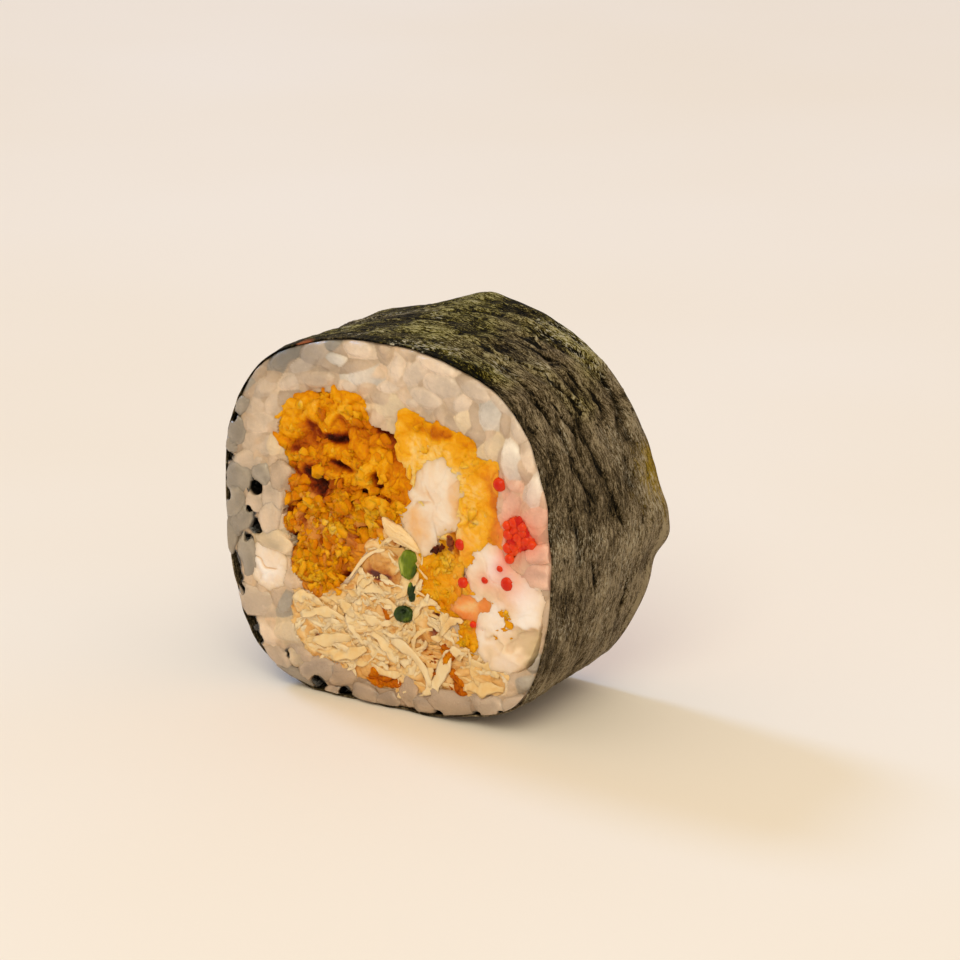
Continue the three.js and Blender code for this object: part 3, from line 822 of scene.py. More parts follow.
crispBatter = {
    **filling,
    "middle": (-9, 30.5),
    "outline": (
        (3.2, 38), (1.8, 41.2), (-2.6, 42.4), (-3.9, 44.8), (-8.5, 46.2), (-13.5, 45.6),
        (-17.8, 42.8), (-19.7, 38.8), (-18, 34.5), (-18.6, 28.5), (-19.2, 24.8), (-17.4, 21),
        (-17.6, 17.6), (-13.5, 14), (-9.5, 15.6), (-6.6, 18.6), (-4.5, 21.6), (-1, 25), (2.6, 28.6),
        (3.8, 33.4),
    ),
    "steps": 400, "rings": 112, "seed": 500,
    "clear": ((-2.0, 20.5, 4.4, 4.4, 0), (7.5, 32, 3.6, 5.5, 0)),
    "pale": (
        (-11.5, 25.5, 6.5, 4.5, -10, 0.55), (-13.3, 27.8, 2.4, 1.6, -30, 0.5),
        (-13.5, 17.4, 4.0, 2.4, 0, 0.4), (-4.5, 26.5, 4, 2.5, 0, 0.3),
    ),
    "upperFlakes": 0.22,  # share of the flakes kept high up
    "flakes": (560, 0.46, (0.02, 0.2, 0.3, 0.36, 0.42, 0.5, 0.62, 0.8)),  # count, size, shades
    "patches": (
        (-10, 24, 8, 6, 20, -0.3, 0.52), (-11.5, 43, 7.5, 2.4, 12, 0.5, 0.27),
        (-6.5, 43.8, 3.5, 2.2, 0, 0.4, 0.24), (-17.5, 40.5, 2.6, 2.2, 60, 0.2, 0.28),
        (-6.5, 36.6, 6.4, 2.1, -4, 0.7, 0.35), (-2.8, 34.2, 2.4, 4.0, 10, 0.5, 0.33),
        (1.6, 34, 2.0, 5.2, 5, 0.4, 0.36), (1.2, 38.4, 2.4, 1.8, -40, 0.2, 0.6),
        (-6.6, 40.9, 2.8, 0.9, -8, 0.1, 0.62), (-13.2, 38.8, 2.4, 1.8, 0, -0.3, 0.74),
        (-9.2, 39.3, 2.5, 0.75, 4, -0.8, 0.92), (-15.2, 36.7, 2.2, 1.0, 20, -0.3, 0.7),
        (-8.3, 34.9, 1.7, 0.85, -10, -1.2, 0.97), (-12.8, 31.6, 2.3, 2.6, 0, -0.35, 0.88),
        (-12.4, 30.6, 0.9, 1.2, 0, -0.4, 1.0), (-8.2, 30.6, 1.3, 3.0, 4, 0.7, 0.46),
        (-1.7, 33.2, 0.6, 1.5, 12, -1.6, 0.92), (-3.8, 31.4, 1.9, 0.5, 8, -1.4, 0.9),
        (0.2, 31.2, 1.2, 0.5, -30, -1.0, 0.85), (-1.2, 41.7, 2.2, 1.4, -30, -1.4, 0.86),
        (1.0, 39.6, 2.2, 1.1, -60, -1.0, 0.82), (-17.2, 27.0, 1.8, 0.8, 20, -1.4, 0.88),
        (-17.2, 22.4, 0.8, 1.9, 35, -1.8, 0.97), (-14.6, 25.6, 1.8, 1.0, 60, -0.5, 0.74),
        (-13.3, 27.8, 2.4, 1.4, -30, 0.3, 0.2), (-9.8, 24.8, 1.6, 1.3, 0, 0.4, 0.24),
        (-14.2, 22.8, 2.0, 1.2, 30, 0.5, 0.42), (-4.8, 28.6, 2.2, 1.2, 30, 0.4, 0.34),
        (-5.2, 26.0, 1.6, 1.2, 0, -0.8, 0.78), (-6.2, 22.0, 3.2, 2.2, 30, 0.1, 0.4),
        (-8.0, 17.8, 1.6, 1.0, 35, -1.4, 0.88), (-13.5, 17.6, 3.6, 2.0, 0, 0.0, 0.22),
        (-1.0, 27.4, 1.6, 0.8, -45, -0.9, 0.8), (-18.0, 30.4, 0.9, 2.0, 0, 0.1, 0.3),
        (-15.5, 32.2, 0.7, 1.6, 30, -0.6, 0.75), (-16.8, 34.8, 1.8, 1.2, 0, 0.3, 0.3),
        (-6.5, 16.8, 1.4, 0.9, 20, 0.2, 0.45),
    ),
}
batterStops = (
    (0.0, srgb(250, 214, 136)), (0.18, srgb(242, 182, 48)), (0.34, srgb(232, 160, 4)),
    (0.5, srgb(212, 128, 2)), (0.66, srgb(184, 94, 3)), (0.82, srgb(136, 50, 6)),
    (0.93, srgb(94, 30, 7)), (1.0, srgb(52, 16, 6)),
)
batterMaterial = foodMaterial("friedBatter", {
    "stops": batterStops, "coarse": 650.0, "fine": 2200.0, "coarseMottle": 0.24, "fineMottle": 0.14,
    "stainColour": srgb(216, 160, 92),
    "bump": 0.4, "bumpDepth": 0.0002, "roughness": 0.42, "glossSpread": 0.4, "specular": 0.06,
    "subsurface": 0.5, "subsurfaceReach": (0.5, 0.45, 0.4), "coat": 0.0, "coatRoughness": 0.2,
})
addFilling("crisp_batter_body", crispBatter, batterMaterial, ["crisp_batter"])

paleBatter = {
    **filling, "steps": 300, "rings": 76, "ragged": 0.45, "upperFlakes": 0.7, "rollOff": 0.2,
    "bend": 0.7, "proud": -0.15, "shade": 0.2, "stain": 1.0,
    "stones": (
        (3.4, 1.3, 40, 0.24, 0.05, 0.24, 0.1), (1.3, 1.2, -20, 0.12, 0.04, 0.12, 0.08),
        (0.55, 1.2, 10, 0.05, 0.02, 0.05, 0.05),
    ),
    "grain": ((1.3, 0.06, 0.05), (0.45, 0.05, 0.04)),
}
upperBatter = {
    **paleBatter, "seed": 620, "middle": (10, 34),
    "flakes": (24, 0.34, (0.02, 0.1, 0.2, 0.3, 0.42)),
    "nibs": (
        (8.3, 25.5, 0.5), (9.1, 25.9, 0.45), (10.5, 27.6, 0.5), (10.6, 26.8, 0.55),
        (10.8, 26.1, 0.45), (7.6, 25.2, 0.35),
    ),
    "clear": ((7.4, 31.8, 4.8, 7.2, -20), (17.0, 25.4, 3.2, 2.2, 30)),
    "outline": (
        (18.7, 35.6), (18.4, 39.4), (15.2, 40.2), (14.5, 42.6), (10.4, 43.6), (6.8, 44.2),
        (3.6, 45.3), (1.8, 43.4), (1.8, 39.4), (2.4, 35.4), (4.6, 32.4), (6.4, 29.6), (7.8, 27.6),
        (9.2, 24.6), (12.8, 23.9), (17.2, 25), (19.4, 28.4), (18.5, 32),
    ),
    "patches": (
        (6.5, 43.2, 4.6, 1.5, -12, 0.25, 0.36), (9.2, 42.5, 3.0, 0.8, -5, 0.0, 0.52),
        (6.2, 39.6, 4.8, 2.0, 0, 0.1, 0.08), (13.0, 41.6, 2.0, 1.9, 0, 0.2, 0.36),
        (3.6, 36.6, 1.5, 2.2, 0, 0.0, 0.3), (14.8, 37.4, 2.6, 2.4, 0, 0.15, 0.3),
        (17.2, 34.4, 1.0, 3.0, 5, -0.3, 0.5), (16.0, 38.2, 1.5, 1.0, 0, 0.0, 0.36),
        (14.2, 33.4, 2.2, 3.6, 0, 0.0, 0.32), (14.2, 27.6, 3.0, 2.8, 0, 0.1, 0.16),
        (17.9, 29.4, 1.2, 2.6, 0, 0.1, 0.42), (15.0, 25.4, 2.4, 1.0, 20, 0.0, 0.36),
        (11.3, 29.4, 0.5, 2.0, -20, -0.5, 0.6), (8.3, 25.3, 1.5, 0.75, 25, -1.2, 1.0),
        (10.5, 27.2, 0.7, 1.0, 0, -0.9, 1.0), (10.7, 25.8, 0.7, 0.7, 0, -0.9, 1.0),
        (2.2, 41.4, 1.3, 3.4, 0, 0.45, 0.22), (5.0, 37.0, 2.4, 2.6, 0, 0.1, 0.04),
        (8.0, 31.6, 6.4, 8.0, -20, 0.1, 0.03),
    ),
}
lowerBatter = {
    **paleBatter, "seed": 660, "middle": (12.4, 18.4), "shade": 0.3, "rings": 66,
    "flakes": (64, 0.34, (0.05, 0.18, 0.28, 0.36, 0.5)),
    "clear": ((15, 17.6, 4.6, 2.2, 0), (17, 15, 3.4, 2.4, 0), (18, 24, 5.4, 4.6, 0)),
    "outline": (
        (21.2, 18), (19.8, 20), (16, 20.6), (12.6, 21.2), (12, 24.4), (7.6, 26), (4.9, 24.4),
        (4.3, 20), (4.8, 17.2), (8.8, 16.4), (11.6, 14.6), (12, 12), (13.6, 10.6), (16.2, 13),
        (20, 14.6),
    ),
    "patches": (
        (7.2, 22.2, 2.6, 3.2, 0, 0.25, 0.34), (10.5, 24.0, 2.2, 1.4, 0, 0.2, 0.3),
        (9.4, 17.8, 3.2, 1.4, 10, 0.0, 0.4), (5.6, 19.6, 1.0, 2.0, 0, 0.0, 0.42),
        (15.5, 15.4, 4.0, 1.0, 15, 0.0, 0.36), (14.0, 12.4, 1.8, 1.6, 45, -0.1, 0.38),
        (20.2, 17.0, 0.8, 1.8, -20, 0.2, 0.5), (18.4, 16.4, 1.2, 1.0, 0, 0.1, 0.34),
    ),
}


def flakeMesh(spec, onBack):
    # Flakes of crust: lumpy balls pressed flat, each tipped its own way and set on the cut, with
    # fewer in the dark pits. The first ones are the dark nibs.
    count, size, tones = spec["flakes"]
    unit, faces = ball(4, 7)
    rand = randomRows(count * 5, 12 + onBack, spec["seed"] + 100, 9)
    outline = sampled(spec["outline"], 160)
    low, high = outline.min(0), outline.max(0)
    place = low + rand[:, :2] * (high - low)
    inner = np.array(spec["middle"]) * 0.06 + outline * 0.94
    base, shade = foodFace(spec, place, onBack)
    kept = insideOutline(place, inner) & (shade < 0.4 + 0.4 * rand[:, 8])
    kept &= rand[:, 4] < spec["upperFlakes"] + smooth(34, 26, place[:, 1])
    for ellipse in spec["clear"]:
        kept &= ellipseDistance(place, *ellipse) > 1
    place, rand, base, shade = (value[kept][:count] for value in (place, rand, base, shade))
    scale = size * (0.5 + rand[:, 2]) ** 2.2
    tone = np.interp(rand[:, 7], np.linspace(0, 1, len(tones)), tones)
    own = 0.45 * tone + 0.55 * shade
    nibs = np.array([] if onBack else spec["nibs"]).reshape(-1, 3)
    dark = slice(None, len(nibs))
    place[dark], scale[dark], own[dark], base[dark] = nibs[:, :2], nibs[:, 2], 1.0, 0.35
    lumps = noise(unit[None] * 1.9 + rand[:, None, :3] * 50, 5)
    axes = np.stack([scale * (0.9 + 0.7 * rand[:, 3]), scale, scale * 0.55], -1)
    local = unit[None] * (1 + 0.65 * lumps)[..., None] * axes[:, None]
    tips = 1.4 * (rand[:, 4:6] - 0.5)
    for a, b, angle in ((0, 2, tips[:, 0]), (1, 2, tips[:, 1]), (0, 1, 6.28 * rand[:, 6])):
        local[..., a], local[..., b] = rotated(local[..., a], local[..., b], angle[:, None])
    flat = place[:, None] + local[..., :2]
    height = softCeiling(base[:, None] + local[..., 2] - 0.3 * scale[:, None], 0.8, 0.12)
    shade = np.clip(own[:, None] + 0.1 * unit[None, :, 1], 0, 1)
    stain = np.repeat((roeStain(place) * spec["stain"])[:, None], len(unit), 1)
    points = cutPoints(flat, height, onBack).reshape(-1, 3)
    faces = turnedFaces(copies(faces, len(unit), len(place)), onBack)
    return makeMesh(points, faces, {"shade": shade, "stain": stain})


def addFlakes(name, spec, material, node):
    for onBack, side in enumerate(("front", "back")):
        addPiece(name + "_" + side, flakeMesh(spec, onBack), material, [node])


stripBatter = {
    **filling, "seed": 690, "middle": (8.5, 9.2), "steps": 140, "rings": 26, "shade": 0.6,
    "proud": 0.0, "upperFlakes": 0.22, "flakes": (26, 0.36, (0.2, 0.4, 0.6, 0.8)),
    "outline": (
        (11.9, 11.4), (11, 12.5), (8.2, 10.7), (5.8, 8.6), (5.5, 6.6), (7.3, 6.3), (9.4, 8.6),
    ),
    "patches": ((11.0, 11.9, 1.6, 0.9, 20, -0.4, 0.9), (6.8, 7.6, 1.4, 1.2, 0, 0.1, 0.55)),
    "ragged": 0.3, "raggedSize": 1.0,
}
paleMaterial = foodMaterial("paleBatter", {
    "stops": batterStops, "coarse": 500.0, "fine": 1900.0, "coarseMottle": 0.2, "fineMottle": 0.1,
    "stainColour": srgb(244, 140, 84),
    "bump": 0.3, "bumpDepth": 0.0002, "roughness": 0.38, "glossSpread": 0.4, "specular": 0.08,
    "subsurface": 0.6, "subsurfaceReach": (0.7, 0.6, 0.5), "coat": 0.0, "coatRoughness": 0.2,
})
addFilling("upper_batter", upperBatter, paleMaterial, ["batter_upper"])
addFilling("lower_batter", lowerBatter, paleMaterial, ["batter_lower"])
addFilling("strip_batter", stripBatter, batterMaterial, ["batter_strip"])
addFlakes("crisp_flakes", crispBatter, batterMaterial, "crisp_batter")
addFlakes("upper_flakes", upperBatter, paleMaterial, "batter_upper")
addFlakes("lower_flakes", lowerBatter, paleMaterial, "batter_lower")
addFlakes("strip_flakes", stripBatter, batterMaterial, "batter_strip")
crumb = {
    **stripBatter, "steps": 90, "rings": 18, "patches": (), "ragged": 0.22, "raggedSize": 0.8,
    "grow": 0.2,
}
crumbs = {
    # Middle, outline, shade, proud.
    "crumb_middle": (
        (-0.3, 14.1), ((0.4, 14.4), (-0.2, 15.5), (-1.2, 15.2), (-1, 13), (0, 12.6), (0.4, 13.4)),
        0.58, 0.1,
    ),
    "crumb_base": (
        (-1.2, 4),
        ((1.7, 4.4), (0.6, 5.1), (-1.4, 4.7), (-3, 5.5), (-4, 3.6), (-1.9, 2.8), (0.9, 3.1)), 0.55,
        0.25,
    ),
    "crumb_right": (
        (11.4, 6), ((12.9, 5.6), (11.8, 7.2), (10.6, 8.1), (10, 6.3), (10.8, 4.5), (12.4, 4.4)),
        0.6, 0.2,
    ),
}
for number, (node, (middle, outline, shade, proud)) in enumerate(crumbs.items()):
    spec = {**crumb, "middle": middle, "outline": outline, "shade": shade, "proud": proud}
    spec["seed"] = 720 + 8 * number
    addFilling(node + "_crust", spec, batterMaterial, [node])
print("batter done")


shrimp = {
    **filling, "steps": 200, "rings": 50, "grow": 0.5, "ragged": 0.6, "raggedSize": 1.5,
    "rollOff": 0.3, "rollWidth": 1.4, "bend": 0.6, "proud": 0.15, "shade": 0.1, "stain": 0.4,
    "rim": 0.28,
    "stones": ((4.2, 1.6, 60, 0.12, 0.03, 0.1, 0.05),),
    "grain": ((2.0, 0.1, 0.06), (0.6, 0.03, 0.04)),
}
upperShrimp = {
    **shrimp, "seed": 760, "middle": (7.6, 31.6),
    "outline": ((12, 33.4), (11.7, 37.1), (9, 38.4), (6.1, 37.6), (4.4, 34.4),
                (2.6, 30.6), (3.1, 26.9), (5.8, 24.8), (8.6, 27), (10.9, 30)),
    "patches": (
        (6.6, 36.2, 2.0, 2.2, 0, 0.45, 0.04), (4.6, 32.8, 1.4, 1.6, 60, 0.3, 0.06),
        (9.2, 35.2, 2.2, 2.6, 0, 0.25, 0.0), (8.6, 31.0, 2.6, 2.0, 30, 0.2, 0.02),
        (5.6, 31.4, 1.5, 0.35, 30, -0.2, 0.3), (4.8, 28.4, 2.2, 2.6, 0, 0.0, 0.42),
        (7.0, 33.4, 0.4, 1.6, 20, -0.15, 0.2), (11.2, 33.6, 0.8, 3.0, 0, -0.1, 0.35),
    ),
}
lowerShrimp = {
    **shrimp, "seed": 780, "middle": (14.2, 17.8), "shade": 0.74, "proud": 0.1, "steps": 120,
    "rings": 26, "rim": 0.1, "grow": 0.3, "ragged": 0.3, "rollWidth": 0.8,
    "grain": ((1.8, 0.12, 0.14), (0.6, 0.04, 0.05)),
    "outline": (
        (18.4, 17.7), (16.8, 19.3), (13.8, 19.5), (10.6, 18.8), (10.4, 17.1), (13, 16), (16.6, 16),
    ),
    "patches": ((13.5, 17.8, 2.0, 1.0, 10, 0.1, 0.5), (16.6, 17.4, 1.6, 1.0, 0, 0.0, 0.76)),
}
shrimpMaterial = foodMaterial("shrimpFlesh", {
    "stops": (
        (0.0, srgb(242, 228, 212)), (0.25, srgb(236, 206, 172)), (0.5, srgb(236, 186, 122)),
        (0.7, srgb(240, 154, 70)), (1.0, srgb(226, 122, 30)),
    ),
    "coarse": 420.0, "fine": 1800.0, "coarseMottle": 0.12, "fineMottle": 0.05,
    "stainColour": srgb(240, 128, 70),
    "bump": 0.2, "bumpDepth": 0.00015, "roughness": 0.32, "glossSpread": 0.25, "specular": 0.4,
    "subsurface": 0.7, "subsurfaceReach": (1.4, 1.3, 1.2), "coat": 0.2, "coatRoughness": 0.15,
})
addFilling("upper_shrimp", upperShrimp, shrimpMaterial, ["shrimp_upper"])
addFilling("lower_shrimp", lowerShrimp, shrimpMaterial, ["shrimp_lower"])

cheese = {
    **filling, "steps": 260, "rings": 60, "raggedSize": 2.0, "rollOff": 0.4, "rollWidth": 0.9,
    "bend": 1.2, "proud": 0.1, "shade": 0.18, "stain": 1.0, "rim": 0.25,
    "stones": ((5.0, 1.4, 20, 0.3, 0.0, 0.3, 0.06),),
    "grain": ((1.6, 0.1, 0.06), (0.5, 0.03, 0.03)),
}
rightCheese = {
    **cheese, "seed": 800, "middle": (19.6, 18.4),
    "outline": (
        (25.9, 18.5), (25.7, 22.6), (22.4, 24.2), (19.6, 25.3), (17.8, 27.3), (15.2, 26.8),
        (13.8, 24.2), (13.6, 21.2), (14, 18.6), (15, 13), (16.6, 9.8), (20.6, 9), (24.3, 10.8),
        (25.6, 14.6),
    ),
    "patches": (
        (23.2, 19.0, 2.6, 3.6, 0, 0.3, 0.0), (17.0, 24.6, 2.0, 1.6, 30, 0.2, 0.0),
        (20.6, 11.8, 3.6, 1.4, -10, 0.3, 0.28), (17.6, 19.6, 2.4, 1.6, 0, 0.0, 0.45),
        (15.4, 22.0, 1.4, 2.4, 0, 0.0, 0.35), (22.8, 14.4, 2.8, 1.5, 10, -0.9, 0.6),
        (24.6, 11.6, 2.0, 1.6, 0, -0.9, 0.6), (22.6, 9.0, 2.4, 1.4, 0, -0.8, 0.6),
        (18.2, 13.6, 2.4, 0.9, -20, -0.1, 0.5), (17.0, 11.6, 1.6, 1.4, 0, -0.1, 0.5),
    ),
}
leftCheese = {
    **cheese, "seed": 830, "middle": (-21.4, 17.6), "steps": 160, "rings": 34,
    "outline": (
        (-18, 17.8), (-19.4, 20.6), (-22.6, 20.8), (-24.2, 19.2), (-23.4, 15.8), (-21.2, 14.2),
        (-18.8, 15),
    ),
    "patches": ((-21.5, 18.3, 2.4, 0.25, 2, -0.25, 0.5), (-21.6, 17.0, 2.0, 1.0, 0, 0.2, 0.0)),
}
cheeseMaterial = foodMaterial("softCheese", {
    "stops": (
        (0.0, srgb(248, 240, 236)), (0.4, srgb(238, 212, 182)), (0.75, srgb(214, 190, 150)),
        (1.0, srgb(190, 164, 122)),
    ),
    "coarse": 300.0, "fine": 1500.0, "coarseMottle": 0.12, "fineMottle": 0.05,
    "stainColour": srgb(240, 96, 74),
    "bump": 0.15, "bumpDepth": 0.00015, "roughness": 0.42, "glossSpread": 0.2, "specular": 0.4,
    "subsurface": 0.5, "subsurfaceReach": (1.4, 1.3, 1.2), "coat": 0.1, "coatRoughness": 0.3,
})
addFilling("right_cheese", rightCheese, cheeseMaterial, ["cheese_right"])
addFilling("left_cheese", leftCheese, cheeseMaterial, ["cheese_left"])

roeJelly = {
    **cheese, "seed": 850, "middle": (21.7, 29.2), "steps": 120, "rings": 26, "grow": -0.1,
    "ragged": 0.5, "raggedSize": 1.2,
    "outline": (
        (24.9, 28.3), (23.4, 30.6), (21.8, 32.6), (19.6, 31.4), (19.6, 28.0), (20.2, 25.4),
        (21.8, 27.4),
    ),
    "proud": 0.2, "shade": 0.76, "stain": 0.0, "rim": 0.0, "grain": ((0.9, 0.12, 0.2),),
    "stones": ((1.5, 1.0, 0, 0.25, 0.15, 0.1, 0.3),),
}
roeMaterial = foodMaterial("fishRoe", {
    "stops": ((0.0, srgb(252, 150, 70)), (0.5, srgb(242, 78, 24)), (1.0, srgb(196, 18, 3))),
    "coarse": 600.0, "fine": 2000.0, "coarseMottle": 0.3, "fineMottle": 0.05,
    "bump": 0.05, "bumpDepth": 0.0001, "roughness": 0.2, "glossSpread": 0.1, "specular": 0.12,
    "subsurface": 0.4, "subsurfaceReach": (0.6, 0.3, 0.2), "coat": 0.2, "coatRoughness": 0.06,
})
addFilling("roe_jelly", roeJelly, roeMaterial, ["roe_cluster"])


def roeMesh(places, onBack):
    # Beads half sunk into what they lie on: balls whose fronts stand just out of the cut.
    unit, faces = ball(15, 22)
    rows = np.array(places)
    radius = rows[:, 2, None]
    flat = rows[:, None, :2] + unit[None, :, :2] * radius[..., None]
    cluster = ellipseDistance(rows[:, :2], *roePlaces["cluster"], 0) < 1
    proud = np.where(cluster, 0.4, 0.5)[:, None] - radius + unit[None, :, 2] * radius
    # Painted light: each bead is lighter and more orange towards its rim and deep red in its
    # middle, as light shining through it.
    fromPole = unit[None, :, 0] ** 2 + unit[None, :, 1] ** 2
    shade = np.where(cluster, 0.8, 0.95)[:, None] - 0.35 * fromPole
    y = depthAt(rows[:, 1])[:, None] + proud if onBack else -proud
    points = np.stack([flat[..., 0], y, flat[..., 1]], -1).reshape(-1, 3)
    faces = turnedFaces(copies(faces, len(unit), len(rows)), onBack)
    return makeMesh(points, faces, {"shade": shade})


for onBack, side in enumerate(("front", "back")):
    beads = roeMesh(roePlaces[side], onBack)
    addPiece("roe_beads_" + side, beads, roeMaterial, ["roe_cluster"])

leaf = {
    **filling, "steps": 100, "rings": 26, "grow": 0.12, "ragged": 0.1, "raggedSize": 1.5,
    "rollWidth": 0.35, "bend": 0.2,
    "stones": ((0.5, 6.0, 80, 0.1, 0.05, 0.1, 0.14),), "grain": ((0.8, 0.05, 0.06),),
}
leaves = {
    # Middle, outline, shade, proud, patches.
    "chive_leaf": (
        (3.2, 22.4),
        ((4.7, 22.6), (4.5, 24.1), (2.8, 24.2), (1.9, 22.6), (2.3, 20.8), (3.5, 20.2), (4.4, 21)),
        0.3, 0.7,
        (
            (2.2, 22.6, 0.35, 1.6, 10, 0.0, 0.05), (3.6, 23.0, 0.5, 1.4, -10, 0.2, 0.35),
            (4.4, 21.6, 0.4, 1.2, -10, -0.2, 0.6),
        ),
    ),
    "chive_tip": (
        (3.8, 18.2), ((4.4, 18.4), (4.3, 19.5), (3.3, 19.5), (3.2, 18), (3.6, 16.9), (4.2, 17.1)),
        0.85, 0.4, ((3.5, 19.6, 0.5, 0.5, 0, 0.0, 0.25),),
    ),
    "chive_lower": (
        (2.3, 14.7), ((3.9, 14.9), (3, 15.8), (1.5, 15.6), (0.8, 14.6), (1.7, 13.6), (3.2, 13.8)),
        0.8, 0.6, ((2.6, 15.2, 0.5, 0.3, 0, -0.5, 1.0), (3.2, 14.2, 0.8, 0.3, 20, 0.1, 0.5)),
    ),
}
leafMaterial = foodMaterial("greenOnion", {
    "stops": (
        (0.0, srgb(176, 184, 84)), (0.3, srgb(104, 124, 14)), (0.6, srgb(58, 80, 18)),
        (1.0, srgb(26, 44, 14)),
    ),
    "coarse": 700.0, "fine": 2400.0, "coarseMottle": 0.15, "fineMottle": 0.08,
    "bump": 0.2, "bumpDepth": 0.0001, "roughness": 0.3, "glossSpread": 0.2, "specular": 0.15,
    "subsurface": 0.2, "subsurfaceReach": (0.3, 0.35, 0.25), "coat": 0.1, "coatRoughness": 0.12,
})
for number, (node, (middle, outline, shade, proud, patches)) in enumerate(leaves.items()):
    spec = {**leaf, "middle": middle, "outline": outline, "shade": shade, "proud": proud}
    spec["seed"], spec["patches"] = 870 + 6 * number, patches
    addFilling(node + "_skin", spec, leafMaterial, [node])
print("shrimp, cheese, roe and green onion done")


crab = {
    **filling, "seed": 900, "middle": (-1, 11), "steps": 340, "rings": 74,
    "outline": (
        (20.4, 7.6), (16.4, 10.4), (12.6, 11.4), (9.4, 16), (5.4, 18), (5.6, 22.4), (4.2, 26.4),
        (-1.2, 26.4), (-4.6, 22.4), (-6.6, 19), (-9.4, 16.2), (-13.4, 14.2), (-16.8, 15),
        (-18, 11.4), (-16.4, 7), (-12.6, 4.6), (-7, 3.4), (-2, 2.7), (4, 2.8), (9.4, 3.1),
        (14.4, 4.1), (19.2, 5.2),
    ),
    "grow": 0.3, "ragged": 0.6, "raggedSize": 2.0, "rollWidth": 0.6,
    "bend": 1.6, "bendSize": 4.0, "shade": 0.42,
    "patches": (
        (-1.4, 21.0, 3.4, 2.4, 0, 0.3, 0.7), (-2.2, 20.7, 2.2, 0.8, 4, -0.5, 0.98),
        (2.4, 12.2, 2.4, 1.8, 0, 0.0, 0.6), (-12.0, 6.0, 3.6, 1.6, 0, 0.0, 0.58),
        (-7.0, 4.6, 3.0, 1.2, 0, 0.0, 0.6), (15.0, 7.4, 4.0, 2.0, 0, 0.2, 0.42),
        (1.5, 24.6, 2.2, 1.0, 0, -0.9, 0.92), (-14.6, 12.0, 2.8, 2.0, 0, 0.2, 0.22),
        (-10.4, 7.4, 3.6, 1.8, -10, 0.3, 0.26), (-5.6, 12.2, 2.4, 1.8, 0, 0.3, 0.16),
        (3.4, 7.4, 2.4, 1.6, 20, 0.2, 0.34), (-3.0, 17.6, 1.6, 0.7, 20, -0.6, 0.8),
        (-3.4, 10.2, 1.4, 0.6, 50, -0.6, 0.78), (4.8, 11.4, 1.0, 1.8, 20, -0.6, 0.76),
        (-11.4, 10.2, 1.6, 0.5, 0, -0.5, 0.74), (7.0, 14.2, 0.8, 1.4, 10, -0.6, 0.8),
    ),
    "stones": ((1.7, 2.6, 10, 0.4, 0.1, 0.3, 0.2), (0.7, 3.2, -14, 0.16, 0.06, 0.12, 0.14)),
    "grain": ((0.5, 0.05, 0.04),),
}
crabMaterial = foodMaterial("crabShreds", {
    "stops": (
        (0.0, srgb(248, 226, 186)), (0.3, srgb(241, 205, 146)), (0.52, srgb(225, 174, 100)),
        (0.7, srgb(200, 136, 58)), (0.85, srgb(170, 94, 28)), (0.93, srgb(128, 46, 10)),
        (1.0, srgb(86, 26, 8)),
    ),
    "coarse": 500.0, "fine": 2000.0, "coarseMottle": 0.16, "fineMottle": 0.08,
    "bump": 0.3, "bumpDepth": 0.00018, "roughness": 0.36, "glossSpread": 0.3, "specular": 0.35,
    "subsurface": 0.35, "subsurfaceReach": (0.5, 0.5, 0.5), "coat": 0.1, "coatRoughness": 0.2,
})
addFilling("crab_core", crab, crabMaterial, ["crab_shreds"])

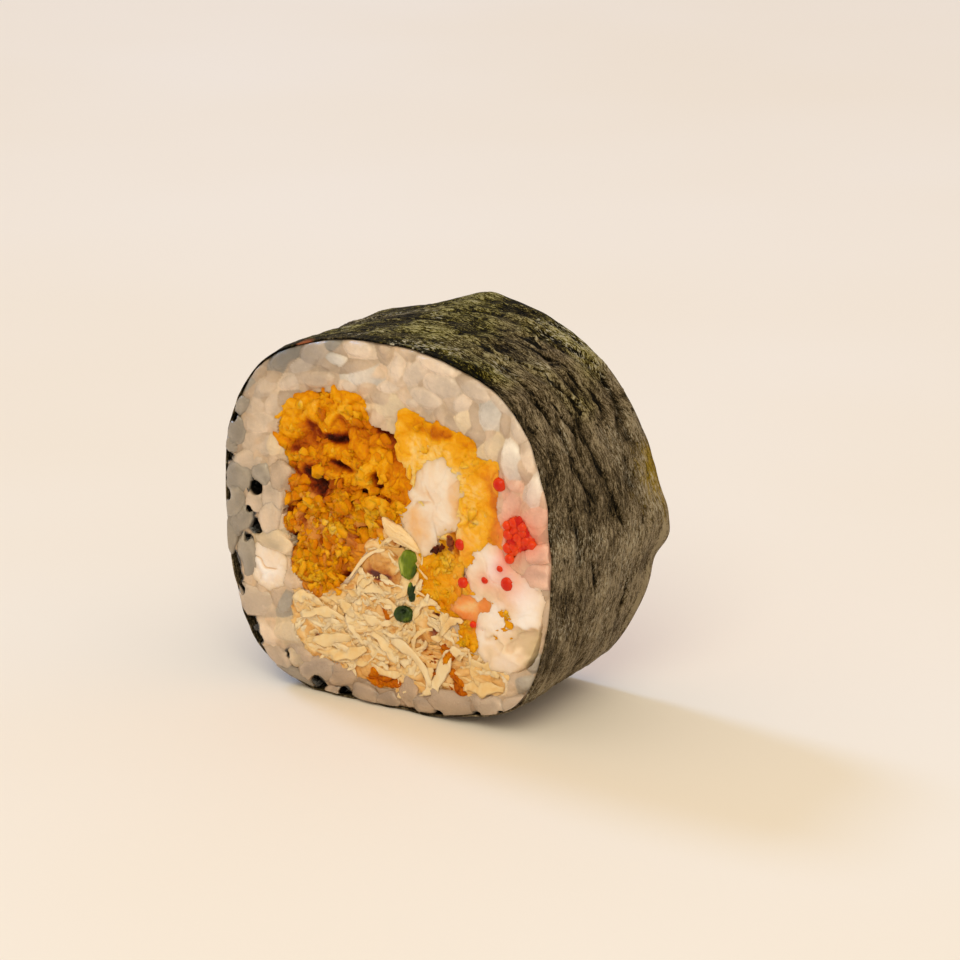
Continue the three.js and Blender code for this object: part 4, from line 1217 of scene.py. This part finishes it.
shreds = {
    # The strips that show clearly: three points of the path, width, lift, shade.
    "placed": (
        (-6.9, 18.2, -3.9, 22.2, -0.6, 23.8, 1.0, 1.0, 0.12),
        (-1.6, 23.8, 1.6, 23.6, 2.4, 20.8, 2.2, 0.7, 0.5),
        (1.2, 17.0, 2.8, 18.6, 2.6, 20.6, 2.2, 0.9, 0.3),
        (-6.4, 15.4, -3.8, 17.6, -0.6, 17.0, 2.4, 0.9, 0.2),
        (5.8, 3.4, 8.0, 5.4, 10.2, 10.2, 3.0, 1.1, 0.14),
        (9.4, 9.4, 11.2, 10.8, 13.4, 10.4, 1.6, 1.0, 0.14),
        (4.4, 13.6, 5.4, 16.8, 8.2, 17.2, 1.8, 0.9, 0.2),
        (8.0, 17.0, 9.4, 15.0, 8.6, 12.8, 2.0, 0.9, 0.24),
        (8.6, 12.6, 10.8, 15.2, 12.6, 15.4, 1.8, 0.8, 0.3),
        (0.4, 10.4, 4.6, 8.6, 7.2, 4.6, 2.2, 1.0, 0.16),
        (-14.4, 8.0, -10.0, 8.4, -5.4, 10.2, 2.2, 0.9, 0.22),
        (-15.4, 11.4, -11.4, 12.6, -7.6, 12.0, 2.0, 0.8, 0.2),
        (-12.6, 6.4, -8.2, 6.6, -4.0, 8.4, 2.0, 0.8, 0.3),
        (-6.6, 14.2, -6.4, 11.4, -4.4, 8.8, 1.8, 1.0, 0.14),
        (-4.6, 13.4, -2.0, 12.6, 0.4, 13.2, 1.8, 0.9, 0.2),
        (-3.0, 11.0, 0.0, 9.0, 1.6, 6.4, 2.0, 1.0, 0.18),
        (-3.2, 6.2, -0.8, 5.2, 1.8, 5.6, 1.8, 0.9, 0.26),
        (13.0, 9.0, 15.6, 9.2, 18.6, 8.4, 2.8, 0.8, 0.3),
        (12.6, 5.6, 15.6, 6.4, 19.4, 6.6, 2.8, 0.8, 0.36),
        (-2.0, 16.0, 0.4, 15.8, 1.4, 14.0, 1.6, 0.9, 0.24),
        (-16.6, 13.6, -14.2, 14.4, -11.4, 13.4, 2.2, 0.8, 0.2),
        (-9.0, 14.6, -7.4, 13.8, -6.4, 12.4, 1.8, 0.8, 0.24),
        (-0.6, 28.6, 1.6, 26.8, 5.2, 24.4, 1.9, 1.5, 0.16),
    ),
    "random": 210,  # on each cut
    "tried": 1400,  # random places, of which the first ones inside the outline are used
    "thickness": 0.26,  # mm
    "rows": 13, "sides": 8,  # points along a strip, and round it
    # Ellipses that the random strips leave open: x, z, half length, half width.
    "open": (
        (-1.6, 21.0, 3.4, 2.0), (8.8, 9.0, 3.4, 2.4), (-1.2, 4.2, 3.0, 1.2), (11.4, 6.0, 1.5, 2.0),
        (-0.4, 14.2, 1.2, 1.8),
    ),
}


def shredMesh(onBack):
    # Ribbons along paths of three points. Their width swells and tapers with ragged edges, and they
    # roll over along their length.
    rand = randomRows(shreds["tried"], 3 + onBack, 600, 9)
    start = np.stack([rand[:, 0] * 40 - 20, rand[:, 1] * 24 + 2], -1)
    inner = sampled(crab["outline"], 120) * 0.9 + np.array(crab["middle"]) * 0.1
    kept = insideOutline(start, inner)
    for ellipse in shreds["open"]:
        kept &= ellipseDistance(start, *ellipse, 0) > 1
    rand, start = (value[kept][: shreds["random"]] for value in (rand, start))
    angle = (rand[:, 2] - 0.5) * 2.2
    step = np.stack([np.cos(angle), np.sin(angle)], -1) * (1.8 + 3.4 * rand[:, 3])[:, None] / 2
    bend = np.stack([-step[:, 1], step[:, 0]], -1) * (rand[:, 4] - 0.5)[:, None] * 1.4
    scattered = np.concatenate([
        start - step, start + bend, start + step,
        np.array([0.5, 0.1, 0.08]) + np.array([1.1, 0.5, 0.3]) * rand[:, 5:8],  # width, lift, shade
    ], 1)
    placed = np.array(shreds["placed"])
    if onBack:
        placed[:, 0:6:2] = placed[:, 0:6:2] * 0.92 + 1.2
        placed[:, 1:6:2] = placed[:, 1:6:2] * 0.94 + 0.8
    strips = np.concatenate([placed, scattered])
    count, rows, sides = len(strips), shreds["rows"], shreds["sides"]
    t = np.linspace(0, 1, rows)[None, :, None]
    a, b, c = (strips[:, None, k : k + 2] for k in (0, 2, 4))
    control = 2 * b - (a + c) / 2
    path = a * (1 - t) ** 2 + 2 * control * t * (1 - t) + c * t**2
    tangent = 2 * (1 - t) * (control - a) + 2 * t * (c - control)
    tangent = tangent / np.linalg.norm(tangent, axis=-1, keepdims=True)
    side = np.stack([-tangent[..., 1], tangent[..., 0]], -1)
    t = t[..., 0] + np.zeros((count, 1))
    wave = np.stack([np.arange(count)[:, None] * 7.7 + np.zeros(rows), t * 4], -1)
    width = 0.42 * strips[:, 6, None] * np.sin(np.pi * (0.06 + 0.88 * t)) ** 0.55
    width = width * (1 + 0.5 * noise(wave * 1.4, 61))
    thick = shreds["thickness"] / 2 * np.sin(np.pi * (0.05 + 0.9 * t)) ** 0.5
    thick = thick * (0.8 + 0.3 * noise(wave, 62))
    circle = onCircle(np.arange(sides) / sides)
    twist = 0.5 * noise(wave * 0.5, 63) + 0.3 * noise(wave, 64)
    across, out = width[..., None] * circle[:, 0], thick[..., None] * circle[:, 1]
    sideways, outward = rotated(across, out, twist[..., None])
    base, _ = foodFace(crab, path, onBack)
    level = 0.45 * (base + base.mean(1, keepdims=True)) - 0.1
    level = level + strips[:, 7, None] * 0.2 + 0.1 * noise(wave, 65)
    level[: len(placed)] += 0.08
    flat = path[:, :, None] + side[:, :, None] * sideways[..., None]
    ring = cutPoints(flat, softCeiling(level[..., None] + outward, 0.85, 0.12), onBack)
    pole = ring.mean(2, keepdims=True)
    points = np.concatenate([pole[:, :1, 0], ring.reshape(count, -1, 3), pole[:, -1:, 0]], 1)
    shade = np.repeat(strips[:, 8, None], points.shape[1], 1)
    shade = np.clip(shade + 0.12 * noise(points[..., [0, 2]] / 0.5, 66), 0, 1)
    faces = turnedFaces(copies(cappedFaces(rows, sides), points.shape[1], count), not onBack)
    return makeMesh(points.reshape(-1, 3), faces, {"shade": shade})


for onBack, side in enumerate(("front", "back")):
    addPiece("crab_strips_" + side, shredMesh(onBack), crabMaterial, ["crab_shreds"])
sliver = {
    **crab, "seed": 940, "middle": (2, 26.3), "steps": 110, "rings": 24, "grow": 0.05,
    "ragged": 0.1, "shade": 0.2, "proud": 0.6,
    "outline": (
        (5.2, 24.5), (4, 26.3), (1.6, 27.9), (-0.8, 28.8), (-0.7, 27), (1, 25.4), (3.4, 24.8),
    ),
    "patches": (), "stones": ((0.5, 5.0, -38, 0.12, 0.05, 0.1, 0.1),),
}
addFilling("crab_sliver_skin", sliver, crabMaterial, ["crab_sliver"])
print("crab done")


rice = {
    # Tints that a grain can have. bright is partly a painted highlight of wet grains, and grey is
    # the dark seaweed seen through thin grains together with painted shade by the seaweed's wall.
    "tints": {
        "plain": srgb(232, 210, 187), "bright": srgb(240, 229, 216), "grey": srgb(180, 169, 154),
        "pink": srgb(236, 196, 172), "cream": srgb(236, 213, 178), "tan": srgb(220, 193, 164),
    },
    # The front cut's grains: x, z, degrees, length, width, tint.
    "grains": (
        (-12.6, 51.2, 35, 6, 3.6, "plain"), (-9.8, 52.6, 10, 4, 2.4, "grey"),
        (-5.2, 52.6, 0, 5.6, 3.0, "plain"), (-9, 50.6, 0, 4.4, 2.3, "bright"),
        (-4, 48.7, 12, 7.5, 3.6, "bright"), (1.5, 50.5, 80, 6, 3, "plain"),
        (4.7, 50.6, 40, 6, 3.6, "plain"), (-18, 49.5, 35, 7.5, 3, "grey"),
        (-21.5, 44.4, 45, 6, 3.2, "plain"), (-17, 46, 30, 5, 2.6, "plain"),
        (-24.3, 45.2, 55, 6, 2.6, "grey"), (-12, 47.2, 10, 6, 2.6, "tan"),
        (-25.8, 41.2, 50, 3.5, 2.4, "grey"), (-23, 41.5, 60, 6.5, 3.4, "plain"),
        (-20.2, 42.2, 60, 6, 3.2, "plain"), (-22.5, 39.2, 15, 6.5, 3.6, "plain"),
        (-26.8, 37.3, 60, 4, 3.4, "grey"), (-22.6, 36, 5, 7, 3.8, "plain"),
        (-20, 36.2, 80, 4, 3, "cream"), (-25, 33, 20, 5.5, 3, "plain"),
        (-27.6, 35, 0, 2.4, 2, "grey"), (-22.4, 31.6, 0, 3.2, 3, "grey"),
        (-19, 31.6, 60, 4, 3.8, "tan"), (-26.6, 30, 70, 5, 4, "grey"),
        (-20.8, 28.3, 75, 5, 3.6, "plain"), (-23.4, 27.2, 0, 3, 2.8, "plain"),
        (-27.2, 26, 75, 5, 3.2, "grey"), (-28, 22.2, 80, 6.5, 2.8, "grey"),
        (-26, 24, 60, 4.5, 3, "grey"), (-21, 25, 80, 5.5, 3.2, "plain"),
        (-20.5, 21.8, -5, 6, 3.2, "cream"), (-25, 17.8, 95, 7.5, 2.8, "grey"),
        (-23.5, 11.8, 0, 7, 4.2, "plain"), (-18.3, 12.6, 60, 4.4, 2.8, "grey"),
        (-22, 7.2, -15, 6.5, 4, "plain"), (-17.6, 8.2, 10, 7, 3.6, "cream"),
        (-13.8, 9.3, 15, 5.5, 3.2, "cream"), (-20.5, 4, -25, 6, 3.4, "plain"),
        (-16.8, 1.4, -10, 6.5, 3, "grey"), (-9.8, 0.2, 0, 3.6, 2.8, "plain"),
        (-12.4, 3.4, 10, 6, 3.2, "plain"), (-8, 3.6, 0, 5, 3.6, "tan"),
        (-4.6, 0.9, 0, 5, 3.2, "plain"), (-0.8, 0.9, 0, 4, 3.4, "plain"),
        (-16.5, 4.5, 0, 3.4, 2.6, "cream"), (3.2, 3.8, 90, 5, 3, "tan"),
        (6.2, 1.6, 0, 4.2, 2.8, "plain"), (11.4, 2.6, 5, 7, 4, "plain"),
        (16.4, 3.9, -10, 5.5, 3.4, "plain"), (21, 4.4, 20, 6, 2.8, "plain"),
        (22.6, 8.2, 0, 4.4, 3, "grey"), (14.6, 8.2, 0, 5, 4, "cream"),
        (18.2, 7.6, 0, 5, 3.6, "cream"), (24.4, 11.4, 0, 4, 2.6, "grey"),
        (22.4, 14.6, 10, 5, 2.6, "cream"), (24.4, 24.2, 10, 5, 3.6, "pink"),
        (25, 27.4, 20, 4.4, 2.8, "pink"), (24.6, 33, 20, 5, 3.4, "pink"),
        (24.3, 36.4, 80, 5.2, 3, "bright"), (20.3, 33.8, 70, 5.5, 3, "pink"),
        (21, 37, 0, 3, 2.6, "pink"), (20.6, 40.2, 95, 6, 3.8, "bright"),
        (23.2, 41.4, 100, 5, 2.6, "plain"), (21.8, 45, 100, 5, 3.6, "plain"),
        (17.6, 42, 60, 5, 4, "cream"), (17, 46.4, 70, 5, 4, "bright"),
        (12.6, 45, 80, 4.5, 3.6, "cream"), (18.6, 48.4, -40, 6, 2.6, "plain"),
        (14.6, 49.6, -20, 6, 3, "plain"), (9, 49.5, -8, 7, 3.8, "plain"),
        (8, 52.2, -12, 7, 2.4, "plain"), (6.4, 47.2, -10, 6, 3.2, "plain"),
        (0, 45, 20, 6.5, 4.2, "cream"), (4, 46.2, 0, 3, 2, "plain"),
        (-14.8, 48.8, 25, 5, 2.4, "plain"), (0.2, 47.9, 15, 5, 2.2, "plain"),
        (12.2, 47.3, 30, 4.5, 3.2, "plain"), (-6.6, 46.9, 0, 3.6, 2.4, "plain"),
    ),
    # Holes to the seaweed: x and z of both ends, radius.
    "holes": (
        (-27, 39.6, -27, 39, 0.7), (-28.2, 33.3, -28.2, 33, 0.6), (-28.2, 27.8, -28.2, 27, 0.7),
        (-23.6, 29.5, -22.9, 29, 1.1), (-24.7, 26, -24.3, 25.8, 0.6),
        (-23.6, 23.4, -22.6, 23.1, 0.9), (-25.2, 21.4, -24.6, 21.3, 0.4),
        (-27.4, 18.2, -26.7, 14.8, 0.6), (-26.2, 13.6, -25.8, 12.8, 0.7),
        (-24.4, 8.8, -23.2, 6.3, 0.7), (-17.9, 4.7, -17.6, 4.5, 0.45),
        (-13.4, 2.2, -11.8, 0.7, 0.7), (-8.6, 1.2, -7.0, 0.0, 0.7), (8.2, 0.7, 9.4, 0.9, 0.5),
        (14.6, 1.8, 15.6, 2.2, 0.45), (18.6, 3.0, 19.4, 3.1, 0.4), (22.4, 4.6, 23.2, 5.0, 0.45),
    ),
    "proud": 0.3,  # mm, how far the grains stand out of the cut
    "thickness": 2.2,
    "fillerSpacing": 3.9,
    "blend": 0.025,  # mm, how softly the grains run into one another
    "meeting": 0.52,  # share of the depth where the front and back halves meet
    "steps": (900, 560), "rings": (104, 76),  # of the front and of the back
    # dark: painted shade in and round the holes.
    "warm": srgb(236, 196, 150), "juice": srgb(236, 116, 84), "dark": srgb(20, 16, 10),
}
grainList = np.array([g[:5] for g in rice["grains"]], float)
grainTints = np.array([rice["tints"][g[5]][:3] for g in rice["grains"]])


def smeared(flat):
    # 1 along the top, the upper right and inside the left, where the knife has smeared the grains
    # into one another.
    x, z = flat[..., 0], flat[..., 1]
    left = smooth(-25.5, -23.5, x) * smooth(31, 34, z)
    low = smooth(-24, -22, x) * smooth(21, 18, z) * smooth(3, 6, z)
    return np.maximum(smooth(-4, 8, z - 41 + 0.3 * x), np.maximum(left, 0.8 * low))


# The grains that are built whole: those outside the smear. No bright one passes the test on
# the tint's red, as their red is below 0.9.
separate = (smeared(grainList[:, :2]) < 0.5) | (grainTints[:, 0] > 0.9)


def fillerGrains(seed):
    # Grains on a staggered grid with a random shift and turn, lower than those of the list.
    spacing = rice["fillerSpacing"]
    row, column = np.mgrid[0:17, 0:17].reshape(2, -1)
    move = np.stack([hashed(np.stack([row, column], -1), seed + k) for k in range(5)], -1)
    x = (column - 8 + 0.5 * (row % 2)) * spacing + (move[:, 0] - 0.5) * 2.4
    z = row * spacing * 0.87 + (move[:, 1] - 0.5) * 2.4 - 1
    outwards = np.degrees(np.arctan2(z - rollMiddle[1], x - rollMiddle[0]))
    angle = outwards + 90 + (move[:, 2] - 0.5) * 110
    return np.stack([x, z, angle, 4.6 + 2.2 * move[:, 3], 2.6 + 0.8 * move[:, 4]], -1)


def backGrains():
    # The front's grains, each moved and turned at random, for the back cut.
    move = randomRows(len(grainList), 0, 200, 3)
    moved = grainList.copy()
    swing = np.radians(9 + 8 * move[:, 0])
    away = moved[:, :2] - rollMiddle
    away = np.stack(rotated(away[:, 0], away[:, 1], swing), -1)
    moved[:, :2] = insideRoll(rollMiddle + away, np.ones(len(moved)), 1.6)
    moved[:, 2] += np.degrees(swing) + 40 * (move[:, 1] - 0.5)
    return moved


def grainField(flat, grains, tints, tops, level, soft):
    # Grains melted into one surface: each is a low dome over its ellipse with a flat top of its own
    # height, and the surface is their soft maximum, blend * ln(sum(e^(dome / blend))). Their tints
    # are blended by the same weights, with painted light on each grain: lighter towards one side of
    # its own, painted shading of its dome, and a painted highlight along its rim.
    domes, lights = [], []
    for number, (x, z, angle, length, width) in enumerate(grains):
        q = ellipseDistance(flat, x, z, length / 2, width / 2, angle)
        side = number * 2.4
        lean = (flat[..., 0] - x) * np.cos(side) + (flat[..., 1] - z) * np.sin(side)
        lean = np.clip(lean / width, -0.8, 0.8)
        ceiling = -0.1 + 0.1 * level[number] + soft * (0.1 + 0.34 * level[number] + 0.16 * lean)
        domes.append(softCeiling(1.0 - q**2 + tops[number], ceiling, 0.07))
        # Painted light: one side lighter, and a painted highlight along the rim.
        lights.append(0.22 * lean + 0.13 * hill((q - 0.84) / 0.09))
    domes = np.maximum(np.stack(domes, -1), -6) / rice["blend"]
    peak = domes.max(-1, keepdims=True)
    weights = np.exp(domes - peak)
    total = weights.sum(-1)
    surface = rice["blend"] * (peak[..., 0] + np.log(total))
    light = (weights * np.stack(lights, -1)).sum(-1) / total
    return surface, (weights / total[..., None]) @ tints * (1 + light)[..., None]


def holeDepth(flat):
    # 1 inside a hole and 0 outside, with a ragged edge, and the same for the painted shade round
    # it, which is wider.
    inside = np.zeros(flat.shape[:-1])
    dark = np.zeros(flat.shape[:-1])
    ragged = 0.3 * noise(flat / 0.9, 71)
    for xA, zA, xB, zB, radius in rice["holes"]:
        away = fromLine(flat[..., 0] - xA, flat[..., 1] - zA, xB - xA, zB - zA)[1] + ragged
        edge = radius * 1.08
        inside = np.maximum(inside, smooth(edge, radius * 0.85, away))
        dark = np.maximum(dark, smooth(edge + 0.45, edge + 0.2, away))
    return inside, dark


def regionLight(flat):
    # Factors of red, green and blue that paint light and shade over the cut: the rice is darker at
    # its left, its upper left and its right, and darker and warmer low down, painted shade near the
    # floor together with a warmer colour of the rice there.
    x, z = flat[..., :1], flat[..., 1:]
    upper = smooth(44, 50, z) * smooth(-4, -12, x) + 0.15 * smooth(6, 10, x) * smooth(42, 46, z)
    lowLeft = smooth(-12, -16, x) * smooth(20, 16, z)
    edge = 0.14 * smooth(-22, -25, x) * smooth(14, 18, z)
    edge = edge + 0.05 * smooth(18, 22, x) * smooth(42, 38, z)
    top = smooth(42, 48, z) * np.array([-0.02, 0.0, 0.03])
    base, left = smooth(7, 2, z), smooth(-15, -21, x)
    plain = 0.925 + 0.06 * lowLeft - 0.33 * upper - edge + top
    low = base * np.array([0.42, 0.47, 0.52])
    return plain - low - left * (1 - base) * np.array([0.1, 0.12, 0.16])


def riceFace(flat, onBack):
    # The soft maximum of the listed grains and the fillers, cut off softly at the knife's plane and
    # filled from below by starch, less the holes and what lies under the fillings.
    own = backGrains() if onBack else grainList
    fill = fillerGrains(300 + onBack)
    covered = sum(insideOutline(fill[:, :2], outline) for outline in fillingOutlines)
    fill = fill[covered == 0]
    grains = np.concatenate([own, fill])
    level, tone, lift = (
        randomRows(len(grains), 5, seed + onBack, 1)[:, 0] for seed in (17, 21, 29)
    )
    fillTints = np.tile(np.array(rice["tints"]["tan"][:3]), (len(fill), 1))
    tints = np.concatenate([grainTints, fillTints]) * (0.82 + 0.32 * tone)[:, None]
    loose = np.concatenate([np.ones(len(own)) if onBack else separate, np.zeros(len(fill))])
    listed = np.arange(len(grains)) < len(own)
    tops = np.where(listed, -0.7 + 0.5 * level - 0.3 * loose, -0.95 + 0.4 * level)
    soft = smeared(flat)
    surface, colour = grainField(flat, grains, tints, tops, lift, soft)
    floor = -0.24 + 0.04 * soft + 0.08 * fractal(flat / 1.2, 3, 35)
    low = smooth(0.3, -0.1, surface - floor)
    surface = softFloor(surface, floor, 0.1)
    surface = surface + (0.05 + 0.05 * soft) * fractal(flat / 0.9, 2, 37 + onBack)
    if onBack:
        outer = smooth(20, 22, np.linalg.norm(flat - rollMiddle, axis=-1))
        gaps, where = noise(flat / 3.2, 91), (1 - soft) * outer
        # Painted shade in the back's gaps and round them.
        hole, dark = smooth(0.62, 0.8, gaps) * where, smooth(0.5, 0.6, gaps) * where
    else:
        hole, dark = holeDepth(flat)
    grain = 1 + 0.07 * fractal(flat / 1.6, 3, 39)
    # Painted shade: darker and warmer where the surface lies low between the grains.
    between = (low * (1 - 0.25 * soft))[..., None] * np.array([0.14, 0.18, 0.26])
    colour = colour * (1 - between) * regionLight(flat) * grain[..., None]
    warm = smooth(0.2, 0.9, noise(flat / 3.3, 41))
    colour = tinted(colour, 0.15 * warm * soft, rice["warm"])
    colour = tinted(colour, roeStain(flat) * 0.75, rice["juice"])
    # Painted shade in and round the holes.
    colour = tinted(colour, dark, rice["dark"])
    under = np.zeros(flat.shape[:-1])
    for outline in fillingOutlines:
        middle = outline.mean(0)
        under = np.maximum(under, insideOutline(flat, middle + 0.95 * (outline - middle)))
    return surface * (1 - hole) - 4.2 * hole - 3.6 * under, {"tint": colour}


def riceBed(onBack):
    # One of the two cut faces of the rice, with a flat back where they meet inside the roll.
    steps, rings = rice["steps"][onBack], rice["rings"][onBack]
    meeting, inset = rice["meeting"], roll["riceInset"]
    ends = ((meeting, 1.6), (1.0, inset)) if onBack else ((0.0, inset), (meeting, 1.6))
    turns = np.arange(steps) / steps
    edge = [skin(turns, np.full(steps, share), inward) for share, inward in ends]

    def face(flat, back):
        if back == onBack:
            height, carried = riceFace(flat, onBack)
            fromRim = np.linalg.norm(edge[back] - flat, axis=-1)
            return height - 0.45 * np.exp(-fromRim / 0.45), carried
        depth = depthAt(flat[..., 1])
        height = (meeting - 1) * depth if back else -meeting * depth
        return height, {"tint": np.ones(flat.shape[:-1] + (3,)) * 0.6}

    counts = (2, rings) if onBack else (rings, 2)
    points, faces, carried = cutBody(edge, rollMiddle, counts, face, 0.62)
    return makeMesh(points, faces, colours=carried)


riceMaterial = foodMaterial("steamedRice", {
    "coarse": 700.0, "fine": 2600.0, "coarseMottle": 0.24, "fineMottle": 0.2,
    "bump": 0.5, "bumpDepth": 0.0004, "roughness": 0.22, "glossSpread": 0.3, "specular": 0.8,
    "subsurface": 0.4, "subsurfaceReach": (0.7, 0.7, 0.7), "coat": 0.6, "coatRoughness": 0.12,
})
for onBack, side in enumerate(("front", "back")):
    addPiece("rice_" + side, riceBed(onBack), riceMaterial, ["rice"])


def looseGrains(grains, tints, onBack):
    # Whole grains: a ball drawn out to blunt ends, bent a little, lumpy, tipped, and flattened
    # softly where it would stand out of the cut. They end at the holes and inside the seaweed.
    unit, faces = ball(19, 28)
    count = len(grains)
    rand = randomRows(count, 9, 400 + 10 * onBack, 6)
    blunt = np.sign(unit) * np.abs(unit) ** np.array([0.82, 1.0, 1.0])
    shape = np.repeat(blunt[None], count, 0)
    for amount, scale, spread, seed in ((0.15, 1.5, 40, 3), (0.08, 3.4, 90, 4)):
        lumps = noise(unit[None] * scale + rand[:, None, :3] * spread, seed)
        shape = shape * (1 + amount * lumps)[..., None]
    size = np.stack([grains[:, 3], grains[:, 4], np.full(count, rice["thickness"])], -1) / 2
    local = shape * size[:, None] * 1.26
    local[..., 1] += (rand[:, 3, None] - 0.5) * 0.9 * (shape[..., 0] ** 2 - 0.3)
    local[..., 1] *= 1 + 0.16 * (rand[:, 4, None] - 0.5) * shape[..., 0]
    along, out = rotated(local[..., 0], local[..., 2], (rand[:, 5, None] - 0.5) * 0.5)
    turned = rotated(along, local[..., 1], np.radians(grains[:, 2])[:, None])
    flat = grains[:, None, :2] + np.stack(turned, -1)
    for xA, zA, xB, zB, radius in () if onBack else rice["holes"]:
        # A grain's edge stops at a hole: the points beyond it come back to its circle.
        hole = np.array([xA + xB, zA + zB]) / 2
        towards = grains[:, :2] - hole
        towards = (towards / np.linalg.norm(towards, axis=-1, keepdims=True))[:, None]
        sideways = np.stack([-towards[..., 1], towards[..., 0]], -1)
        s, t = ((flat - hole) * towards).sum(-1), ((flat - hole) * sideways).sum(-1)
        reach = 0.75 * radius + np.hypot(xB - xA, zB - zA) / 2 * 0.7
        stop = np.sqrt(np.maximum(reach**2 - t**2, 0))
        moved = np.where((np.abs(t) < reach) & (s > -3), np.maximum(stop - s, 0), 0)
        flat = flat + towards * moved[..., None]
    flat = insideRoll(flat, float(onBack), roll["riceInset"] + 0.05 + 0.4 * onBack)
    flat[..., 1] = np.maximum(flat[..., 1], roll["riceInset"] + 0.05)
    top = (rice["proud"] + 0.15 + 0.3 * rand[:, 0])[:, None]
    sunk = -1.05 + 0.4 * rand[:, 1] - 0.1 * smeared(grains[:, :2])
    height = softCeiling(out + sunk[:, None], top, 0.3) + 0.07 * noise(flat / 0.9, 51)
    colour = tints * (0.9 + 0.2 * rand[:, 2, None]) * regionLight(grains[:, :2])
    mottle = 0.26 * noise(unit[None] * 1.6 + rand[:, None, :3] * 70, 6)
    # Painted light: a painted highlight along each grain's rim.
    rim = 0.97 + 0.16 * hill((np.hypot(unit[:, 0], unit[:, 1]) - 0.8) / 0.12)
    colour = colour[:, None] * ((1 + mottle) * rim)[..., None]
    # Painted shade on the low parts of each grain.
    low = smooth(0.15, -0.45, height)
    colour = colour * (1 - low[..., None] * np.array([0.1, 0.14, 0.2]))
    colour = tinted(colour, roeStain(flat) * 0.75, rice["juice"])
    # Painted shade round the holes on the grains' low parts.
    if not onBack:
        colour = tinted(colour, holeDepth(flat)[1] * smooth(0.0, -0.4, height), rice["dark"])
    points = cutPoints(flat, height, onBack).reshape(-1, 3)
    faces = turnedFaces(copies(faces, len(unit), count), onBack)
    return makeMesh(points, faces, colours={"tint": colour.reshape(-1, 3)})


looseRows = (grainList[separate], grainTints[separate]), (backGrains(), grainTints)
for onBack, side in enumerate(("front", "back")):
    mesh = looseGrains(*looseRows[onBack], onBack)
    addPiece("rice_grains_" + side, mesh, riceMaterial, ["rice"])


studio = {
    "floor": srgb(243, 238, 231), "floorPatches": srgb(241, 233, 220), "floorHalf": 2.4,
    "sky": (0.76, 0.64, 0.52),
    "aim": 0.027,  # m, the height that the lights look at
    # The camera: place in mm, turn and rise in degrees, focal length and sensor width in mm.
    "camera": (304.479, -460.123, 199.33), "turn": 33.0, "rise": 17.0,
    "lens": 150.0, "sensor": 36.0,
    # name: direction towards it, distance, size, power, colour
    "lights": {
        "key": ((-0.751, 0.201, 0.629), 5.0, 1.0, 90.0, (0.32, 0.56, 1.0)),
        "fill": ((0.30, -0.62, 0.72), 1.5, 1.0, 7.6, (1.0, 0.94, 0.68)),
    },
}


def floorMesh():
    half = studio["floorHalf"] * 1000
    corners = np.array([[-half, -half, 0], [half, -half, 0], [half, half, 0], [-half, half, 0]])
    return makeMesh(corners - shift, [np.array([[0, 1, 2, 3]])])


floorMaterial, floorShader, floorPlace = newMaterial("palePaper")
paper = noiseWire(floorPlace, 6.0, 2.0)
setShader(floorShader, {"Specular IOR Level": 0.15}, {
    "Base Color": paper.between(0.2, 0.8).mixed(studio["floor"], studio["floorPatches"]),
    "Roughness": paper * 0.1 + 0.7,
})
floorData = floorMesh()
floorData.name = "floor"
floorData.materials.append(floorMaterial)
floorPiece = bpy.data.objects.new("floor", floorData)
bpy.context.scene.collection.objects.link(floorPiece)


def addLight(name, direction, distance, size, power, colour):
    data = bpy.data.lights.new(name, "AREA")
    data.shape = "DISK"
    data.size, data.energy, data.color = size, power, colour
    light = bpy.data.objects.new(name, data)
    towards = Vector(direction).normalized()
    light.location = towards * distance + Vector((0, 0, studio["aim"]))
    light.rotation_mode = "QUATERNION"
    light.rotation_quaternion = towards.to_track_quat("Z", "Y")
    bpy.context.scene.collection.objects.link(light)


for name, settings in studio["lights"].items():
    addLight(name, *settings)
world = bpy.data.worlds.new("studio")
world.use_nodes = True
world.node_tree.nodes["Background"].inputs["Color"].default_value = studio["sky"] + (1.0,)
bpy.context.scene.world = world
bpy.context.scene.view_settings.view_transform = "Standard"

cameraData = bpy.data.cameras.new("camera")
cameraData.lens, cameraData.sensor_width = studio["lens"], studio["sensor"]
cameraData.clip_start, cameraData.clip_end = 0.05, 10.0
camera = bpy.data.objects.new("camera", cameraData)
bpy.context.scene.collection.objects.link(camera)
turn, rise = np.radians(studio["turn"]), np.radians(studio["rise"])
level = np.cos(rise)
backwards = Vector((np.sin(turn) * level, -np.cos(turn) * level, np.sin(rise)))
camera.location = Vector(studio["camera"]) / 1000
camera.rotation_mode = "QUATERNION"
camera.rotation_quaternion = backwards.to_track_quat("Z", "Y")
bpy.context.scene.camera = camera
print("floor, light and camera placed")
